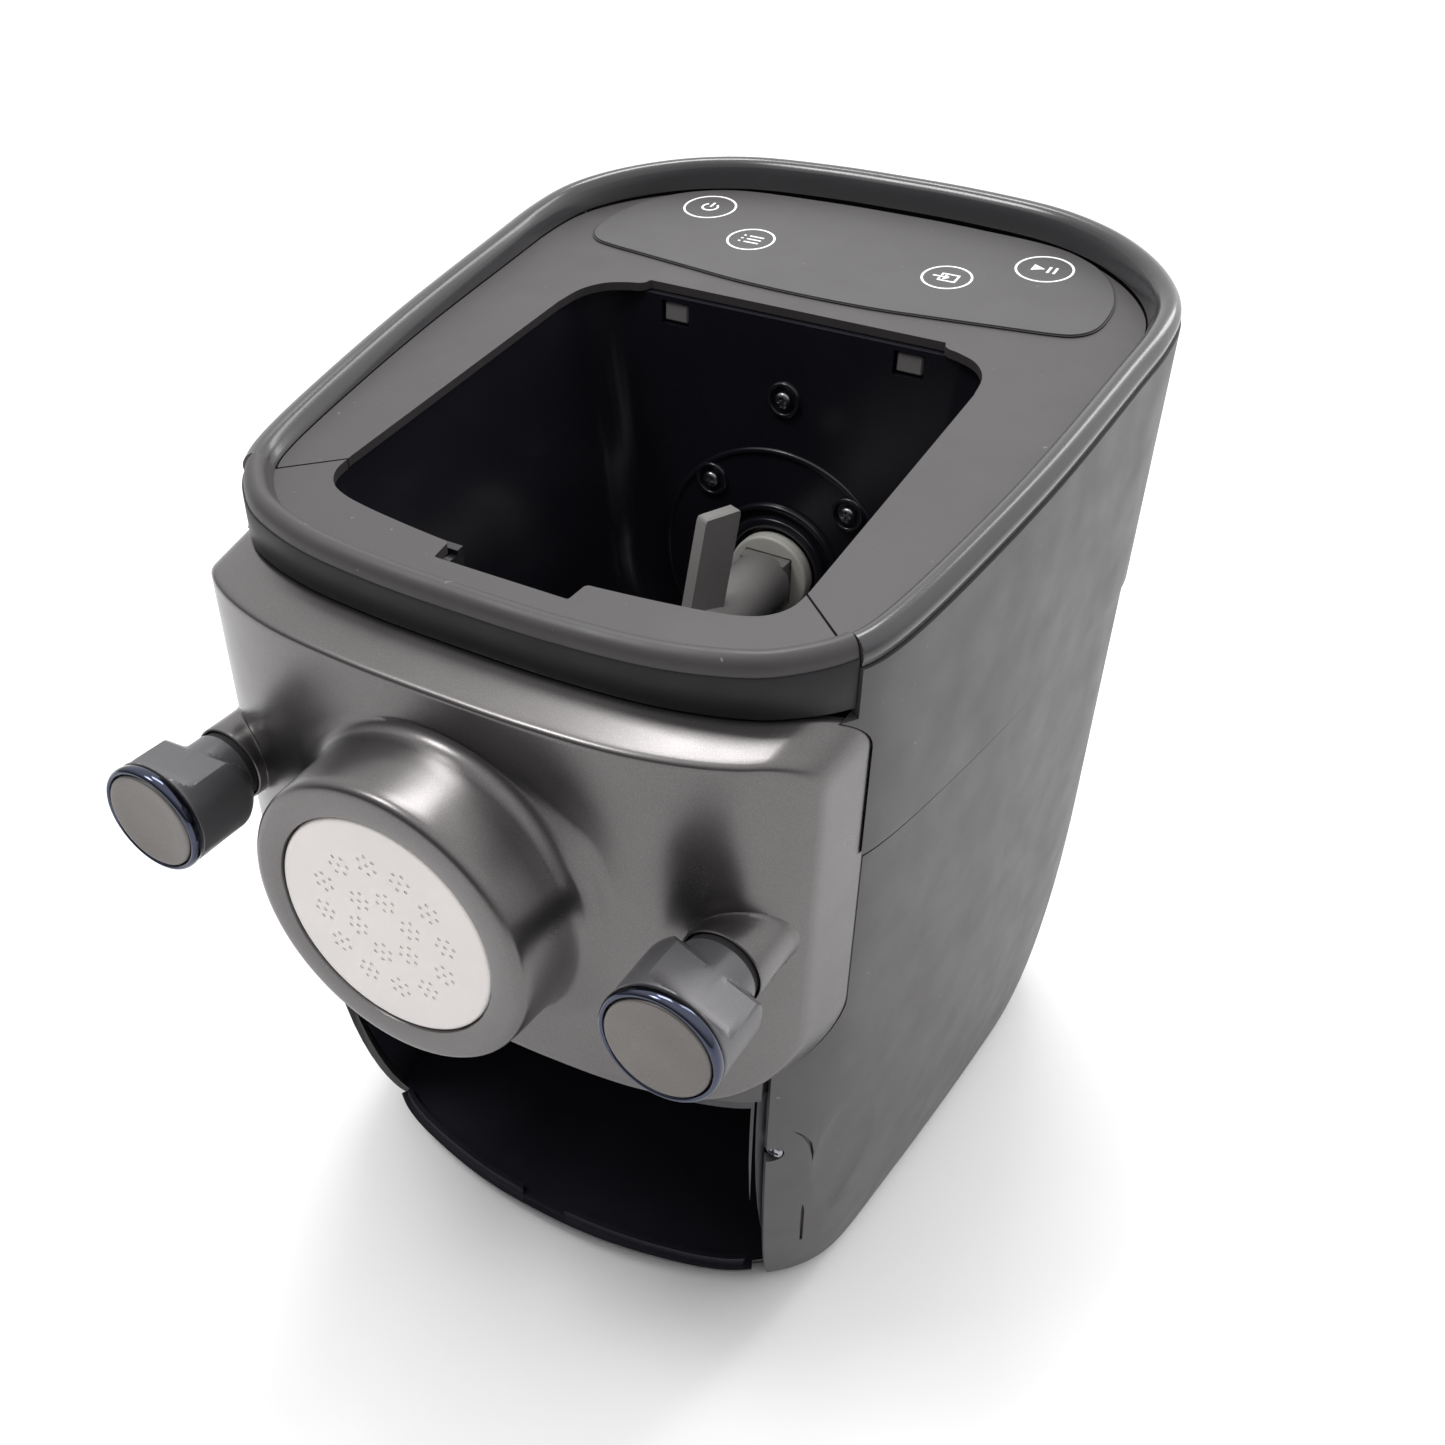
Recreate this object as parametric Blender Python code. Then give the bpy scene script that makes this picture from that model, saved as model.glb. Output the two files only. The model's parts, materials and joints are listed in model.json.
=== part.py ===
"""Automatic pasta maker: body without its lid and disc drawer, on the table, front facing -Y, +Z up."""

import math

import bmesh
import bpy
from mathutils import Matrix, Vector

# ---- driving dimensions, metres -------------------------------------------------------------
MM = 0.001
BODY_WIDTH = 0.237          # widest, towards the rear of the rim
BODY_DEPTH = 0.3200         # knob faces to rear
SHAFT_HEIGHT = 0.196        # drive axis above the table
KNOB_X = 0.0836             # each knob's axis from the centre plane
KNOB_Z = 0.1975
GAP = 0.0004                # between pieces that touch
FACETS = 0.75               # share of the listed facets a turned piece gets
SKIN = 0.0026               # enclosure wall
PANEL_WALL = 0.0030

BODY_BASE_Z = 0.0020        # lower edge of the shells
CURVE_TOP_Z = 0.110         # above this the walls stand upright
BAND_Z = 0.2107             # step line round the body
BAND_STEP = 0.0008
TRIM_HEIGHT = 0.0070
SEAM_Y = -0.0892            # front cap against side shells and top cover
REAR_SEAM_Y = 0.1120        # side shells against rear cover

PANEL_TOP_Z = 0.2590
PANEL_LOW_Z = 0.1290
PANEL_BACK_Y = -0.0825
PANEL_RELIEF = 0.0155       # how far the panel stands off the body outline
BOSS_FACE_Y = -0.1592
BOSS_RADIUS = 0.0445
DIE_OPEN_RADIUS = 0.0340
SOCKET_FACE_Y = -0.1283
SOCKET_RADIUS = 0.0122
KNOB_FACE_Y = -0.1600

TUB_REAR_Y = 0.0637         # inner face of the chamber's rear wall
TUB_FRONT_Y = -0.0880
TUB_RADIUS = 0.0640
TUB_TOP_HALF = 0.0755
TUB_WALL = 0.0025
BAY_TOP_Z = 0.1200
BAY_HALF = 0.0850
BAY_REAR_Y = 0.0400
BAY_FLOOR_Z = 0.0120

# Half outlines, front centre to rear centre, millimetres (x, y)
RIM_OUTLINE = [
    (0, -117.2), (28, -116.7), (55, -114), (76, -108), (88, -100.5), (98, -89.2),
    (103.6, -74), (109, -40), (114, 5), (117.4, 60), (118.5, 84), (116.6, 103),
    (109.5, 119), (97, 134), (80, 146.4), (58, 154.8), (28, 158.5), (0, 159.2),
]
BASE_OUTLINE = [
    (0, -100.3), (25, -98.5), (50, -92.5), (68, -86), (81, -76.5), (91, -65),
    (96.5, -50), (100, -20), (104, 20), (107.5, 62), (108.5, 84), (107, 101),
    (100.5, 116), (88, 131), (72, 142), (53, 149), (26, 151), (0, 151.5),
]

bpy.context.scene.unit_settings.system = "METRIC"
bpy.context.scene.unit_settings.scale_length = 1.0
for old in list(bpy.data.objects):
    bpy.data.objects.remove(old, do_unlink=True)


def top_z(y):
    """Height of the recessed top surface, metres."""
    return 0.27467 + 0.1229 * (y + 0.076)


def rim_z(y):
    """Height of the raised rim round the top, metres."""
    return 0.28027 + 0.1442 * (y + 0.076)


# ---- materials ------------------------------------------------------------------------------
MATERIALS = {}


def material(name, colour, metallic=0.0, roughness=0.5):
    if name not in MATERIALS:
        made = bpy.data.materials.new(name)
        made.use_nodes = True
        shader = made.node_tree.nodes["Principled BSDF"]
        shader.inputs["Base Color"].default_value = (*colour, 1.0)
        shader.inputs["Metallic"].default_value = metallic
        shader.inputs["Roughness"].default_value = roughness
        MATERIALS[name] = made
    return MATERIALS[name]


SHELL_GREY = ("shell_grey_plastic", (0.095, 0.085, 0.083), 0.0, 0.45)
GLOSS_DARK = ("rim_gloss_plastic", (0.035, 0.032, 0.033), 0.0, 0.12)
CHAMBER_BLACK = ("chamber_black_plastic", (0.010, 0.010, 0.013), 0.0, 0.25)
PANEL_METAL = ("panel_satin_metal", (0.27, 0.25, 0.24), 0.9, 0.33)
KNOB_GREY = ("knob_grey_plastic", (0.17, 0.165, 0.17), 0.2, 0.38)
CHROME_DARK = ("knob_dark_chrome", (0.30, 0.31, 0.36), 1.0, 0.08)
CAP_METAL = ("knob_cap_metal", (0.24, 0.22, 0.21), 0.85, 0.42)
DIE_WHITE = ("die_white_plastic", (0.80, 0.76, 0.74), 0.0, 0.40)
DRIVE_GREY = ("drive_light_plastic", (0.55, 0.54, 0.52), 0.0, 0.40)
PADDLE_GREY = ("paddle_grey_plastic", (0.30, 0.29, 0.29), 0.0, 0.42)
RUBBER = ("rubber_black", (0.012, 0.012, 0.012), 0.0, 0.85)
STEEL = ("screw_steel", (0.55, 0.55, 0.55), 1.0, 0.30)
BRASS = ("insert_brass", (0.68, 0.50, 0.22), 1.0, 0.35)
MOTOR_STEEL = ("motor_zinc_steel", (0.50, 0.51, 0.52), 1.0, 0.40)
BOARD_GREEN = ("board_green", (0.02, 0.14, 0.06), 0.0, 0.50)
INNER_BLACK = ("inner_black_plastic", (0.020, 0.020, 0.022), 0.0, 0.55)
FILM_GREY = ("film_grey_plastic", (0.075, 0.068, 0.067), 0.0, 0.28)
GEAR_WHITE = ("gear_white_plastic", (0.75, 0.74, 0.70), 0.0, 0.45)


# ---- mesh helpers ---------------------------------------------------------------------------
def new_object(name, verts, faces, mat, smooth=35.0):
    """Closed mesh from vertices in metres; normals face out."""
    mesh = bpy.data.meshes.new(name)
    mesh.from_pydata([tuple(v) for v in verts], [], faces)
    build = bmesh.new()
    build.from_mesh(mesh)
    bmesh.ops.remove_doubles(build, verts=build.verts, dist=1e-7)
    bmesh.ops.recalc_face_normals(build, faces=build.faces)
    for face in build.faces:
        face.smooth = True
    for edge in build.edges:
        if len(edge.link_faces) == 2:
            edge.smooth = edge.calc_face_angle(0.0) < math.radians(smooth)
    build.to_mesh(mesh)
    build.free()
    obj = bpy.data.objects.new(name, mesh)
    bpy.context.scene.collection.objects.link(obj)
    if mat is not None:
        mesh.materials.append(material(*mat))
    return obj


def as_cutter(obj):
    obj.hide_render = True
    obj.display_type = "WIRE"
    return obj


def boolean(obj, other, operation="DIFFERENCE"):
    """Adds a live Boolean and hides the other shape."""
    step = obj.modifiers.new(other.name, "BOOLEAN")
    step.operation = operation
    step.object = as_cutter(other)
    step.solver = "EXACT"
    return obj


def grid_solid(rows, wrap=False):
    """Vertices and faces of a closed solid lofted through equal loops, capped at both ends."""
    count = len(rows[0])
    verts = [v for row in rows for v in row]
    faces = []
    for i in range(len(rows) - (0 if wrap else 1)):
        nxt = (i + 1) % len(rows)
        for j in range(count):
            k = (j + 1) % count
            faces.append((i * count + j, i * count + k, nxt * count + k, nxt * count + j))
    if not wrap:
        faces.append(tuple(range(count)))
        faces.append(tuple(range((len(rows) - 1) * count, len(rows) * count)))
    return verts, faces


def loft(name, rows, mat, wrap=False):
    return new_object(name, *grid_solid(rows, wrap), mat)


def box(name, low, high, mat=None, bevel=0.0):
    (x0, y0, z0), (x1, y1, z1) = low, high
    rows = [[(x0, y0, z), (x1, y0, z), (x1, y1, z), (x0, y1, z)] for z in (z0, z1)]
    obj = loft(name, rows, mat)
    if bevel:
        step = obj.modifiers.new("edge", "BEVEL")
        step.width = bevel
        step.segments = 1
        step.limit_method = "ANGLE"
    return obj


def lathe(name, profile, centre, mat=None, axis="Y", segments=32, closed=False):
    """Turns (radius, along) points about an axis. closed: the profile is a ring section."""
    cx, cy, cz = centre
    segments = max(12, int(segments * FACETS))
    rows = []
    for step in range(segments):
        turn = 2 * math.pi * step / segments
        c, s = math.cos(turn), math.sin(turn)
        row = []
        for r, a in profile:
            if axis == "Y":
                row.append((cx + r * c, cy + a, cz + r * s))
            elif axis == "Z":
                row.append((cx + r * c, cy + r * s, cz + a))
            else:
                row.append((cx + a, cy + r * c, cz + r * s))
        rows.append(row)
    if closed:
        return new_object(name, *grid_solid(rows, wrap=True), mat)
    count = len(profile)
    verts = [v for row in rows for v in row]
    faces = []
    for i in range(segments):
        nxt = (i + 1) % segments
        for j in range(count - 1):
            faces.append((i * count + j, i * count + j + 1, nxt * count + j + 1, nxt * count + j))
    for end in (0, count - 1):
        if profile[end][0] > 1e-9:
            faces.append(tuple(i * count + end for i in range(segments)))
    return new_object(name, verts, faces, mat)


def cylinder(name, centre, radius, along0, along1, mat=None, axis="Y", segments=32):
    return lathe(name, [(radius, along0), (radius, along1)], centre, mat, axis, segments)


def ring(name, centre, inner, outer, along0, along1, mat=None, axis="Y", segments=32):
    section = [(inner, along0), (outer, along0), (outer, along1), (inner, along1)]
    return lathe(name, section, centre, mat, axis, segments, closed=True)


def prism_y(name, outline, y0, y1, mat=None):
    """Extrudes an (x, z) outline along Y."""
    rows = [[(x, y, z) for x, z in outline] for y in (y0, y1)]
    return loft(name, rows, mat)


def slab(name, loop, low, high, mat=None):
    """Closed slab over a plan loop; low and high give z for each y."""
    return loft(name, [[(x, y, low(y)) for x, y in loop], [(x, y, high(y)) for x, y in loop]],
                mat)


def rounded_rect(x0, x1, z0, z1, low_radius, high_radius, steps=5):
    points = []
    corners = [
        (x1 - low_radius, z0 + low_radius, low_radius, -90),
        (x1 - high_radius, z1 - high_radius, high_radius, 0),
        (x0 + high_radius, z1 - high_radius, high_radius, 90),
        (x0 + low_radius, z0 + low_radius, low_radius, 180),
    ]
    for cx, cz, r, start in corners:
        for i in range(steps + 1):
            turn = math.radians(start + 90 * i / steps)
            points.append((cx + r * math.cos(turn), cz + r * math.sin(turn)))
    return points


# ---- body surface ---------------------------------------------------------------------------
def smooth_outline(points, per_span=2):
    """Passes a smooth curve through a half outline given in millimetres."""
    ext = [(-points[1][0], points[1][1])] + points + [(-points[-2][0], points[-2][1])]
    curve = []
    for i in range(1, len(ext) - 2):
        p0, p1, p2, p3 = (Vector(ext[i + k]) for k in (-1, 0, 1, 2))
        for step in range(per_span):
            t = step / per_span
            curve.append(0.5 * (2 * p1 + (p2 - p0) * t + (2 * p0 - 5 * p1 + 4 * p2 - p3) * t * t
                                + (3 * p1 - p0 - 3 * p2 + p3) * t ** 3))
    curve.append(Vector(ext[-2]))
    return curve


RIM_CURVE = smooth_outline(RIM_OUTLINE)
BASE_CURVE = smooth_outline(BASE_OUTLINE)
LAST = len(RIM_CURVE) - 1


def plan_point(s, z, inset=0.0):
    """Body outline at station s (0 front centre, LAST rear centre; negative is the left side)."""
    side = -1.0 if s < 0 else 1.0
    s = min(abs(s), LAST)

    def at(curve, q):
        i = min(int(q), LAST - 1)
        return curve[i].lerp(curve[i + 1], q - i)

    t = min(max(z / CURVE_TOP_Z, 0.0), 1.0)
    blend = (1 - (1 - t) ** 2) ** 0.75

    def point(q):
        return at(BASE_CURVE, q).lerp(at(RIM_CURVE, q), blend)

    here = point(s)
    ahead = point(min(s + 0.6, LAST)) - point(max(s - 0.6, 0.0))
    if s < 0.3 or s > LAST - 0.3:
        ahead = Vector((1.0 if s < 0.3 else -1.0, 0.0))
    normal = Vector((ahead.y, -ahead.x)).normalized()
    here = (here - normal * (inset / MM)) * MM
    return side * here.x, here.y


def station_at_y(y, z=0.2):
    """Station on the side of the body where the outline crosses y."""
    low, high = 5.0, LAST - 1.0
    for _ in range(40):
        mid = (low + high) / 2
        if plan_point(mid, z)[1] < y:
            low = mid
        else:
            high = mid
    return low


def front_y(x):
    """Outline depth at a given x on the front, upright part of the body."""
    x = abs(x)
    low, high = 0.0, LAST * 0.5
    for _ in range(40):
        mid = (low + high) / 2
        if plan_point(mid, 0.2)[0] < x:
            low = mid
        else:
            high = mid
    return plan_point(low, 0.2)[1]


def wall_patch(name, stations, heights, mat, skin=SKIN, offset=None):
    """Closed strip of the enclosure wall. heights(s) lists the z levels at a station."""
    rows = []
    for s in stations:
        levels = heights(s)
        outer = []
        inner = []
        for z in levels:
            out = offset(z) if offset else 0.0
            x, y = plan_point(s, z, -out)
            outer.append((x, y, z))
            x, y = plan_point(s, z, skin)
            inner.append((x, y, z))
        rows.append(outer + inner[::-1])
    return loft(name, rows, mat)


def spread(start, end, count):
    return [start + (end - start) * i / (count - 1) for i in range(count)]


S_SEAM = 10.0                               # station of the seam corner at (98, -89.2)
S_REAR = station_at_y(REAR_SEAM_Y)
S_COLUMN = 7.9                              # front edge of the side shells beside the bay


def side_levels(s):
    y = plan_point(s, 0.25)[1]
    top = rim_z(y) - TRIM_HEIGHT - GAP
    low = [BODY_BASE_Z, 0.012, 0.028, 0.050, 0.078, CURVE_TOP_Z]
    return low + [0.160, BAND_Z - 0.0006, BAND_Z, 0.5 * (BAND_Z + top), top]


def band_offset(z):
    return BAND_STEP if z >= BAND_Z - 1e-6 else 0.0


# panel outline used for the cut in the side shells
PANEL_CUT = rounded_rect(-0.1014, 0.1014, PANEL_LOW_Z - GAP, PANEL_TOP_Z + GAP, 0.028, 0.013)

for side, label in ((-1, "left"), (1, "right")):
    stations = [side * s for s in
                spread(S_COLUMN, S_SEAM, 4) + spread(S_SEAM + 1, S_REAR, 13)]
    shell = wall_patch(f"side_shell_{label}", stations, side_levels, SHELL_GREY,
                       offset=band_offset)
    boolean(shell, prism_y(f"cut_panel_{label}", PANEL_CUT, -0.2, PANEL_BACK_Y))
    near = plan_point(side * (S_SEAM + 0.05), 0.25, 0.0120)
    far = plan_point(side * (S_SEAM + 0.05), 0.25, -0.0060)
    seam_cut = [near, far, (far[0], -0.2), (side * 0.04, -0.2), (side * 0.04, near[1])]
    boolean(shell, slab(f"cut_cap_{label}", seam_cut, lambda y: PANEL_TOP_Z - 0.002,
                        lambda y: 0.33))

# ---- rear cover with air slots ----------------------------------------------------------------
rear_stations = spread(S_REAR + 0.1, LAST, 8)


def rear_levels(s):
    y = plan_point(s, 0.25)[1]
    top = rim_z(y) - TRIM_HEIGHT - GAP
    low = [BODY_BASE_Z, 0.012, 0.028, 0.050, 0.078, CURVE_TOP_Z]
    return low + [0.165, BAND_Z - 0.0006, BAND_Z, 0.5 * (BAND_Z + top), top]


rear_cover = wall_patch("rear_cover", rear_stations + [-s for s in rear_stations[-2::-1]],
                        rear_levels, SHELL_GREY, offset=band_offset)
slots_verts, slots_faces = [], []
for row in range(7):
    z = 0.082 + 0.011 * row
    for x in (-0.026, 0.026):
        base = len(slots_verts)
        for zz in (z, z + 0.005):
            for dx, y in ((-0.021, 0.13), (0.021, 0.13), (0.021, 0.18), (-0.021, 0.18)):
                slots_verts.append((x + dx, y, zz))
        for face in ((0, 1, 2, 3), (7, 6, 5, 4), (0, 4, 5, 1), (1, 5, 6, 2), (2, 6, 7, 3),
                     (3, 7, 4, 0)):
            slots_faces.append(tuple(base + i for i in face))
boolean(rear_cover, new_object("cut_slots", slots_verts, slots_faces, None))
boolean(rear_cover, box("cut_inlet", (-0.0135, 0.12, 0.0295), (0.0135, 0.18, 0.0505)))
power_inlet = box("power_inlet", (-0.0130, 0.1250, 0.0300), (0.0130, 0.1525, 0.0500),
                  INNER_BLACK)
boolean(power_inlet, box("cut_inlet_mouth", (-0.0100, 0.1350, 0.0330), (0.0100, 0.18, 0.0470)))

# ---- front cap ----------------------------------------------------------------------------------
def outline_loop(inset, stations, z=0.25):
    points = [plan_point(s, z, inset) for s in stations]
    return points + [plan_point(-s, z, inset) for s in stations[-2:0:-1]]


OPENING = ([(-0.0215, -0.0993), (0.0215, -0.0993), (0.0227, -0.0920), (0.0400, -0.0902),
            (0.0640, -0.0862), (0.0710, -0.0820), (0.0745, -0.0740), (0.0745, 0.0420),
            (0.0725, 0.0520), (0.0665, 0.0590), (0.0580, 0.0620), (0.0555, 0.0632),
            (0.0545, 0.0658)])
OPENING = OPENING + [(-x, y) for x, y in OPENING[:1:-1]]


def opening_cutter(name):
    return slab(name, OPENING, lambda y: 0.262, lambda y: 0.34)


cap_stations = spread(0.0, S_SEAM, 9)


def cap_loop(inset):
    half = [plan_point(s, 0.25, inset) for s in cap_stations]
    return [(-x, y) for x, y in half[:0:-1]] + half


seam_inner = plan_point(S_SEAM, 0.25, 0.0092)
cap_tail = (0.0700, -0.0676)
cap_rows = []
for inset, height in ((0.0, None), (0.0, -0.0040), (0.0012, -0.0012), (0.0036, 0.0),
                      (0.0092, None)):
    row = []
    for x, y in cap_loop(inset):
        z = rim_z(y) + height if height is not None else top_z(y)
        row.append((x, y, z if cap_rows else PANEL_TOP_Z + GAP))
    for x, y in (seam_inner, cap_tail, (-cap_tail[0], cap_tail[1]),
                 (-seam_inner[0], seam_inner[1])):
        row.append((x, y, top_z(y) if cap_rows else PANEL_TOP_Z + GAP))
    cap_rows.append(row)
front_cap = loft("front_cap", cap_rows, SHELL_GREY)
boolean(front_cap, slab("cut_cap_inner", cap_loop(SKIN) + [(0.097, -0.060), (-0.097, -0.060)],
                        lambda y: 0.24, lambda y: top_z(y) - 0.0030))
boolean(front_cap, opening_cutter("cut_cap_opening"))

# ---- top cover: recessed deck behind the front cap --------------------------------------------
deck_stations = spread(S_SEAM + 0.12, LAST, 17)
half = [plan_point(s, 0.25, 0.0096) for s in deck_stations]
deck_loop = [(0.0700, -0.0668)] + half + [(-x, y) for x, y in half[-2::-1]]
deck_loop = deck_loop + [(-0.0700, -0.0668)]
top_cover = slab("top_cover", deck_loop, lambda y: top_z(y) - 0.0028, top_z, SHELL_GREY)
boolean(top_cover, opening_cutter("cut_deck_opening"))
# ---- glossy trim round the rim ------------------------------------------------------------------
trim_half = spread(S_SEAM + 0.06, LAST, 18)
trim_stations = trim_half + [-s for s in trim_half[-2::-1]]
trim_rows = []
for s in trim_stations:
    x, y = plan_point(s, 0.25)
    drop = rim_z(y) - top_z(y)
    section = [(0.0, -TRIM_HEIGHT), (-0.0004, -0.0045), (0.0012, -0.0012), (0.0040, 0.0),
               (0.0072, -0.0020), (0.0092, -drop), (0.0066, -drop), (0.0050, -0.0042),
               (0.0040, -0.0030), (0.0028, -0.0050), (0.0026, -TRIM_HEIGHT)]
    row = []
    for inset, height in section:
        px, py = plan_point(s, 0.25, inset)
        row.append((px, py, rim_z(y) + height))
    trim_rows.append(row)
rim_trim = loft("rim_trim", trim_rows, GLOSS_DARK)

# ---- control film ---------------------------------------------------------------------------------
film_half = [(0.0, 0.0760), (0.0450, 0.0790), (0.0890, 0.0850), (0.0945, 0.0950),
             (0.0930, 0.1130), (0.0870, 0.1260), (0.0760, 0.1370), (0.0600, 0.1440),
             (0.0300, 0.1468), (0.0, 0.1475)]
film_loop = film_half + [(-x, y) for x, y in film_half[-2:0:-1]]
control_film = slab("control_film", film_loop, lambda y: top_z(y) + 0.0003,
                    lambda y: top_z(y) + 0.0009, FILM_GREY)

# ---- base ---------------------------------------------------------------------------------------
base_stations = spread(0.0, LAST, 20)
base_loop = outline_loop(0.0048, base_stations, 0.006)
base_plate = slab("base_plate", base_loop, lambda y: 0.0046, lambda y: 0.0076, INNER_BLACK)
for x, y, label in ((-0.070, -0.058, "front_left"), (0.070, -0.058, "front_right"),
                    (-0.080, 0.105, "rear_left"), (0.080, 0.105, "rear_right")):
    lathe(f"foot_{label}", [(0.0070, 0.0), (0.0090, 0.0010), (0.0095, 0.0042)], (x, y, 0.0),
          RUBBER, "Z", 20)

# ---- drawer bay -------------------------------------------------------------------------------------
bay_rows = []
for z in (0.0080, 0.0180, 0.0350, 0.0600, 0.0900, BAY_TOP_Z):
    half = []
    for s in spread(0.0, 9.5, 11):
        x, y = plan_point(s, z, 0.0012 if s < 7.3 else 0.0046)
        half.append((min(x, BAY_HALF - 0.00001 * (9.5 - s)), y))
    half.append((BAY_HALF, BAY_REAR_Y))
    bay_rows.append([(x, y, z) for x, y in [(-x, y) for x, y in half[:0:-1]] + half])
drawer_bay = loft("drawer_bay", bay_rows, INNER_BLACK)
boolean(drawer_bay, box("cut_bay", (-0.0825, -0.20, 0.0105), (0.0825, 0.0375, 0.1172)))
floor_bead = [plan_point(s, 0.016, 0.0055) for s in spread(0.0, 7.0, 7)]
bead_half = [(x, y) for x, y in floor_bead if x < 0.078]
bead_outer = [(-x, y) for x, y in bead_half[:0:-1]] + bead_half
bead_inner = [(x, y + 0.0028) for x, y in bead_outer[::-1]]
bay_bead = slab("bay_bead", bead_outer + bead_inner, lambda y: 0.0095, lambda y: 0.0140)
boolean(bay_bead, cylinder("cut_bead_notch", (0.0, -0.0975, 0.0), 0.010, 0.0112, 0.05,
                           axis="Z", segments=20))
boolean(drawer_bay, bay_bead, "UNION")

crossbar_half = [plan_point(s, 0.2, 0.0008) for s in spread(0.0, 7.55, 7)]
bar_outer = [(-x, y) for x, y in crossbar_half[:0:-1]] + crossbar_half
bar_inner = [(x * 0.985, y + 0.0080) for x, y in bar_outer[::-1]]
bay_lintel = slab("bay_lintel", bar_outer + bar_inner, lambda y: BAY_TOP_Z + 0.0004,
                  lambda y: PANEL_LOW_Z - GAP, SHELL_GREY)

# ---- front panel --------------------------------------------------------------------------------
def panel_ring(t, recess=0.0, wall=0.0):
    """Closed ring of the panel at relief t (0 on the body outline, 1 at the flat face)."""
    half_width = 0.1010 - 0.0052 * t - wall
    low = PANEL_LOW_Z + 0.0065 * t + wall
    high = PANEL_TOP_Z - 0.0100 * t - wall
    return rounded_rect(-half_width, half_width, low, high, 0.027 - 0.004 * t,
                        0.0125 - 0.002 * t, 4)


def densify(loop, most=0.016):
    points = []
    for i, (x, z) in enumerate(loop):
        nx, nz = loop[(i + 1) % len(loop)]
        parts = max(1, math.ceil(math.hypot(nx - x, nz - z) / most))
        points += [(x + (nx - x) * k / parts, z + (nz - z) * k / parts) for k in range(parts)]
    return points


def panel_y(x, relief):
    fuller = 1.0 + 0.095 * min(max((abs(x) - 0.080) / 0.0175, 0.0), 1.0)
    return front_y(min(abs(x), 0.0985)) + max(0.0, abs(x) - 0.0985) * 2.2 - relief * fuller


template = densify(panel_ring(0.0), 0.026)
centre_z = 0.5 * (PANEL_TOP_Z + PANEL_LOW_Z)


def panel_point(base, t, shrink, wall):
    """Maps a point of the outer ring inward: t across the bevel, shrink across the face."""
    x, z = base
    edge_x, edge_low, edge_high = 0.1010, PANEL_LOW_Z, PANEL_TOP_Z
    sx = (edge_x - 0.0035 * t - wall) / edge_x
    low, high = edge_low + 0.0100 * t + wall, edge_high - 0.0045 * t - wall
    share = (z - edge_low) / (edge_high - edge_low)
    nx, nz = x * sx, low + (high - low) * share
    return nx * shrink, centre_z + (nz - centre_z) * shrink


panel_rows = []
PANEL_STEPS = [(0.0, 1.0), (0.92, 1.0), (1.0, 0.97), (1.0, 0.70), (1.0, 0.36), (1.0, 0.03)]
for t, shrink in PANEL_STEPS:
    row = []
    for base in template:
        x, z = panel_point(base, t, shrink, 0.0)
        relief = PANEL_RELIEF * (t if t < 1 else 1.02)
        row.append((x, panel_y(x, relief), z))
    panel_rows.append(row)
inner_rows = []
for t, shrink in PANEL_STEPS[::-1]:
    row = []
    for base in template:
        x, z = panel_point(base, t, shrink, PANEL_WALL)
        relief = PANEL_RELIEF * (t if t < 1 else 1.02) - (PANEL_WALL if t > 0 else 0.0)
        row.append((x, panel_y(x, max(relief, 0.0)), z))
    inner_rows.append(row)


def shell_between(name, front_rows, back_rows, mat):
    rows = front_rows[::-1] + back_rows[::-1]
    verts, faces = grid_solid(rows)
    return new_object(name, verts, faces, mat)


front_panel = shell_between("front_panel", panel_rows, inner_rows, PANEL_METAL)
boss = lathe("add_boss", [(0.0375, 0.0320), (0.0500, 0.0320), (0.0500, 0.0275), (0.0476, 0.0256),
                          (0.0460, 0.0232), (0.0445, 0.0035), (0.0438, 0.0008), (0.0420, 0.0),
                          (0.0345, 0.0), (0.0340, 0.0006), (0.0340, 0.0030), (0.0375, 0.0030)],
             (0.0, BOSS_FACE_Y, SHAFT_HEIGHT), None, segments=48, closed=True)
bore = cylinder("cut_boss_bore", (0.0, 0.0, SHAFT_HEIGHT), 0.0378, -0.1560, -0.05, segments=48)
boolean(front_panel, bore)
boolean(front_panel, boss, "UNION")
for side, label in ((-1, "left"), (1, "right")):
    centre = (side * KNOB_X, 0.0, KNOB_Z)
    socket = cylinder(f"add_socket_{label}", centre, SOCKET_RADIUS, SOCKET_FACE_Y, -0.0990,
                      segments=28)
    boolean(front_panel, socket, "UNION")
    boolean(front_panel, cylinder(f"cut_socket_{label}", centre, 0.0112, -0.2, -0.1040,
                                  segments=28))
    boolean(front_panel, cylinder(f"cut_stud_{label}", centre, 0.0046, -0.2, -0.05,
                                  segments=20))

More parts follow.
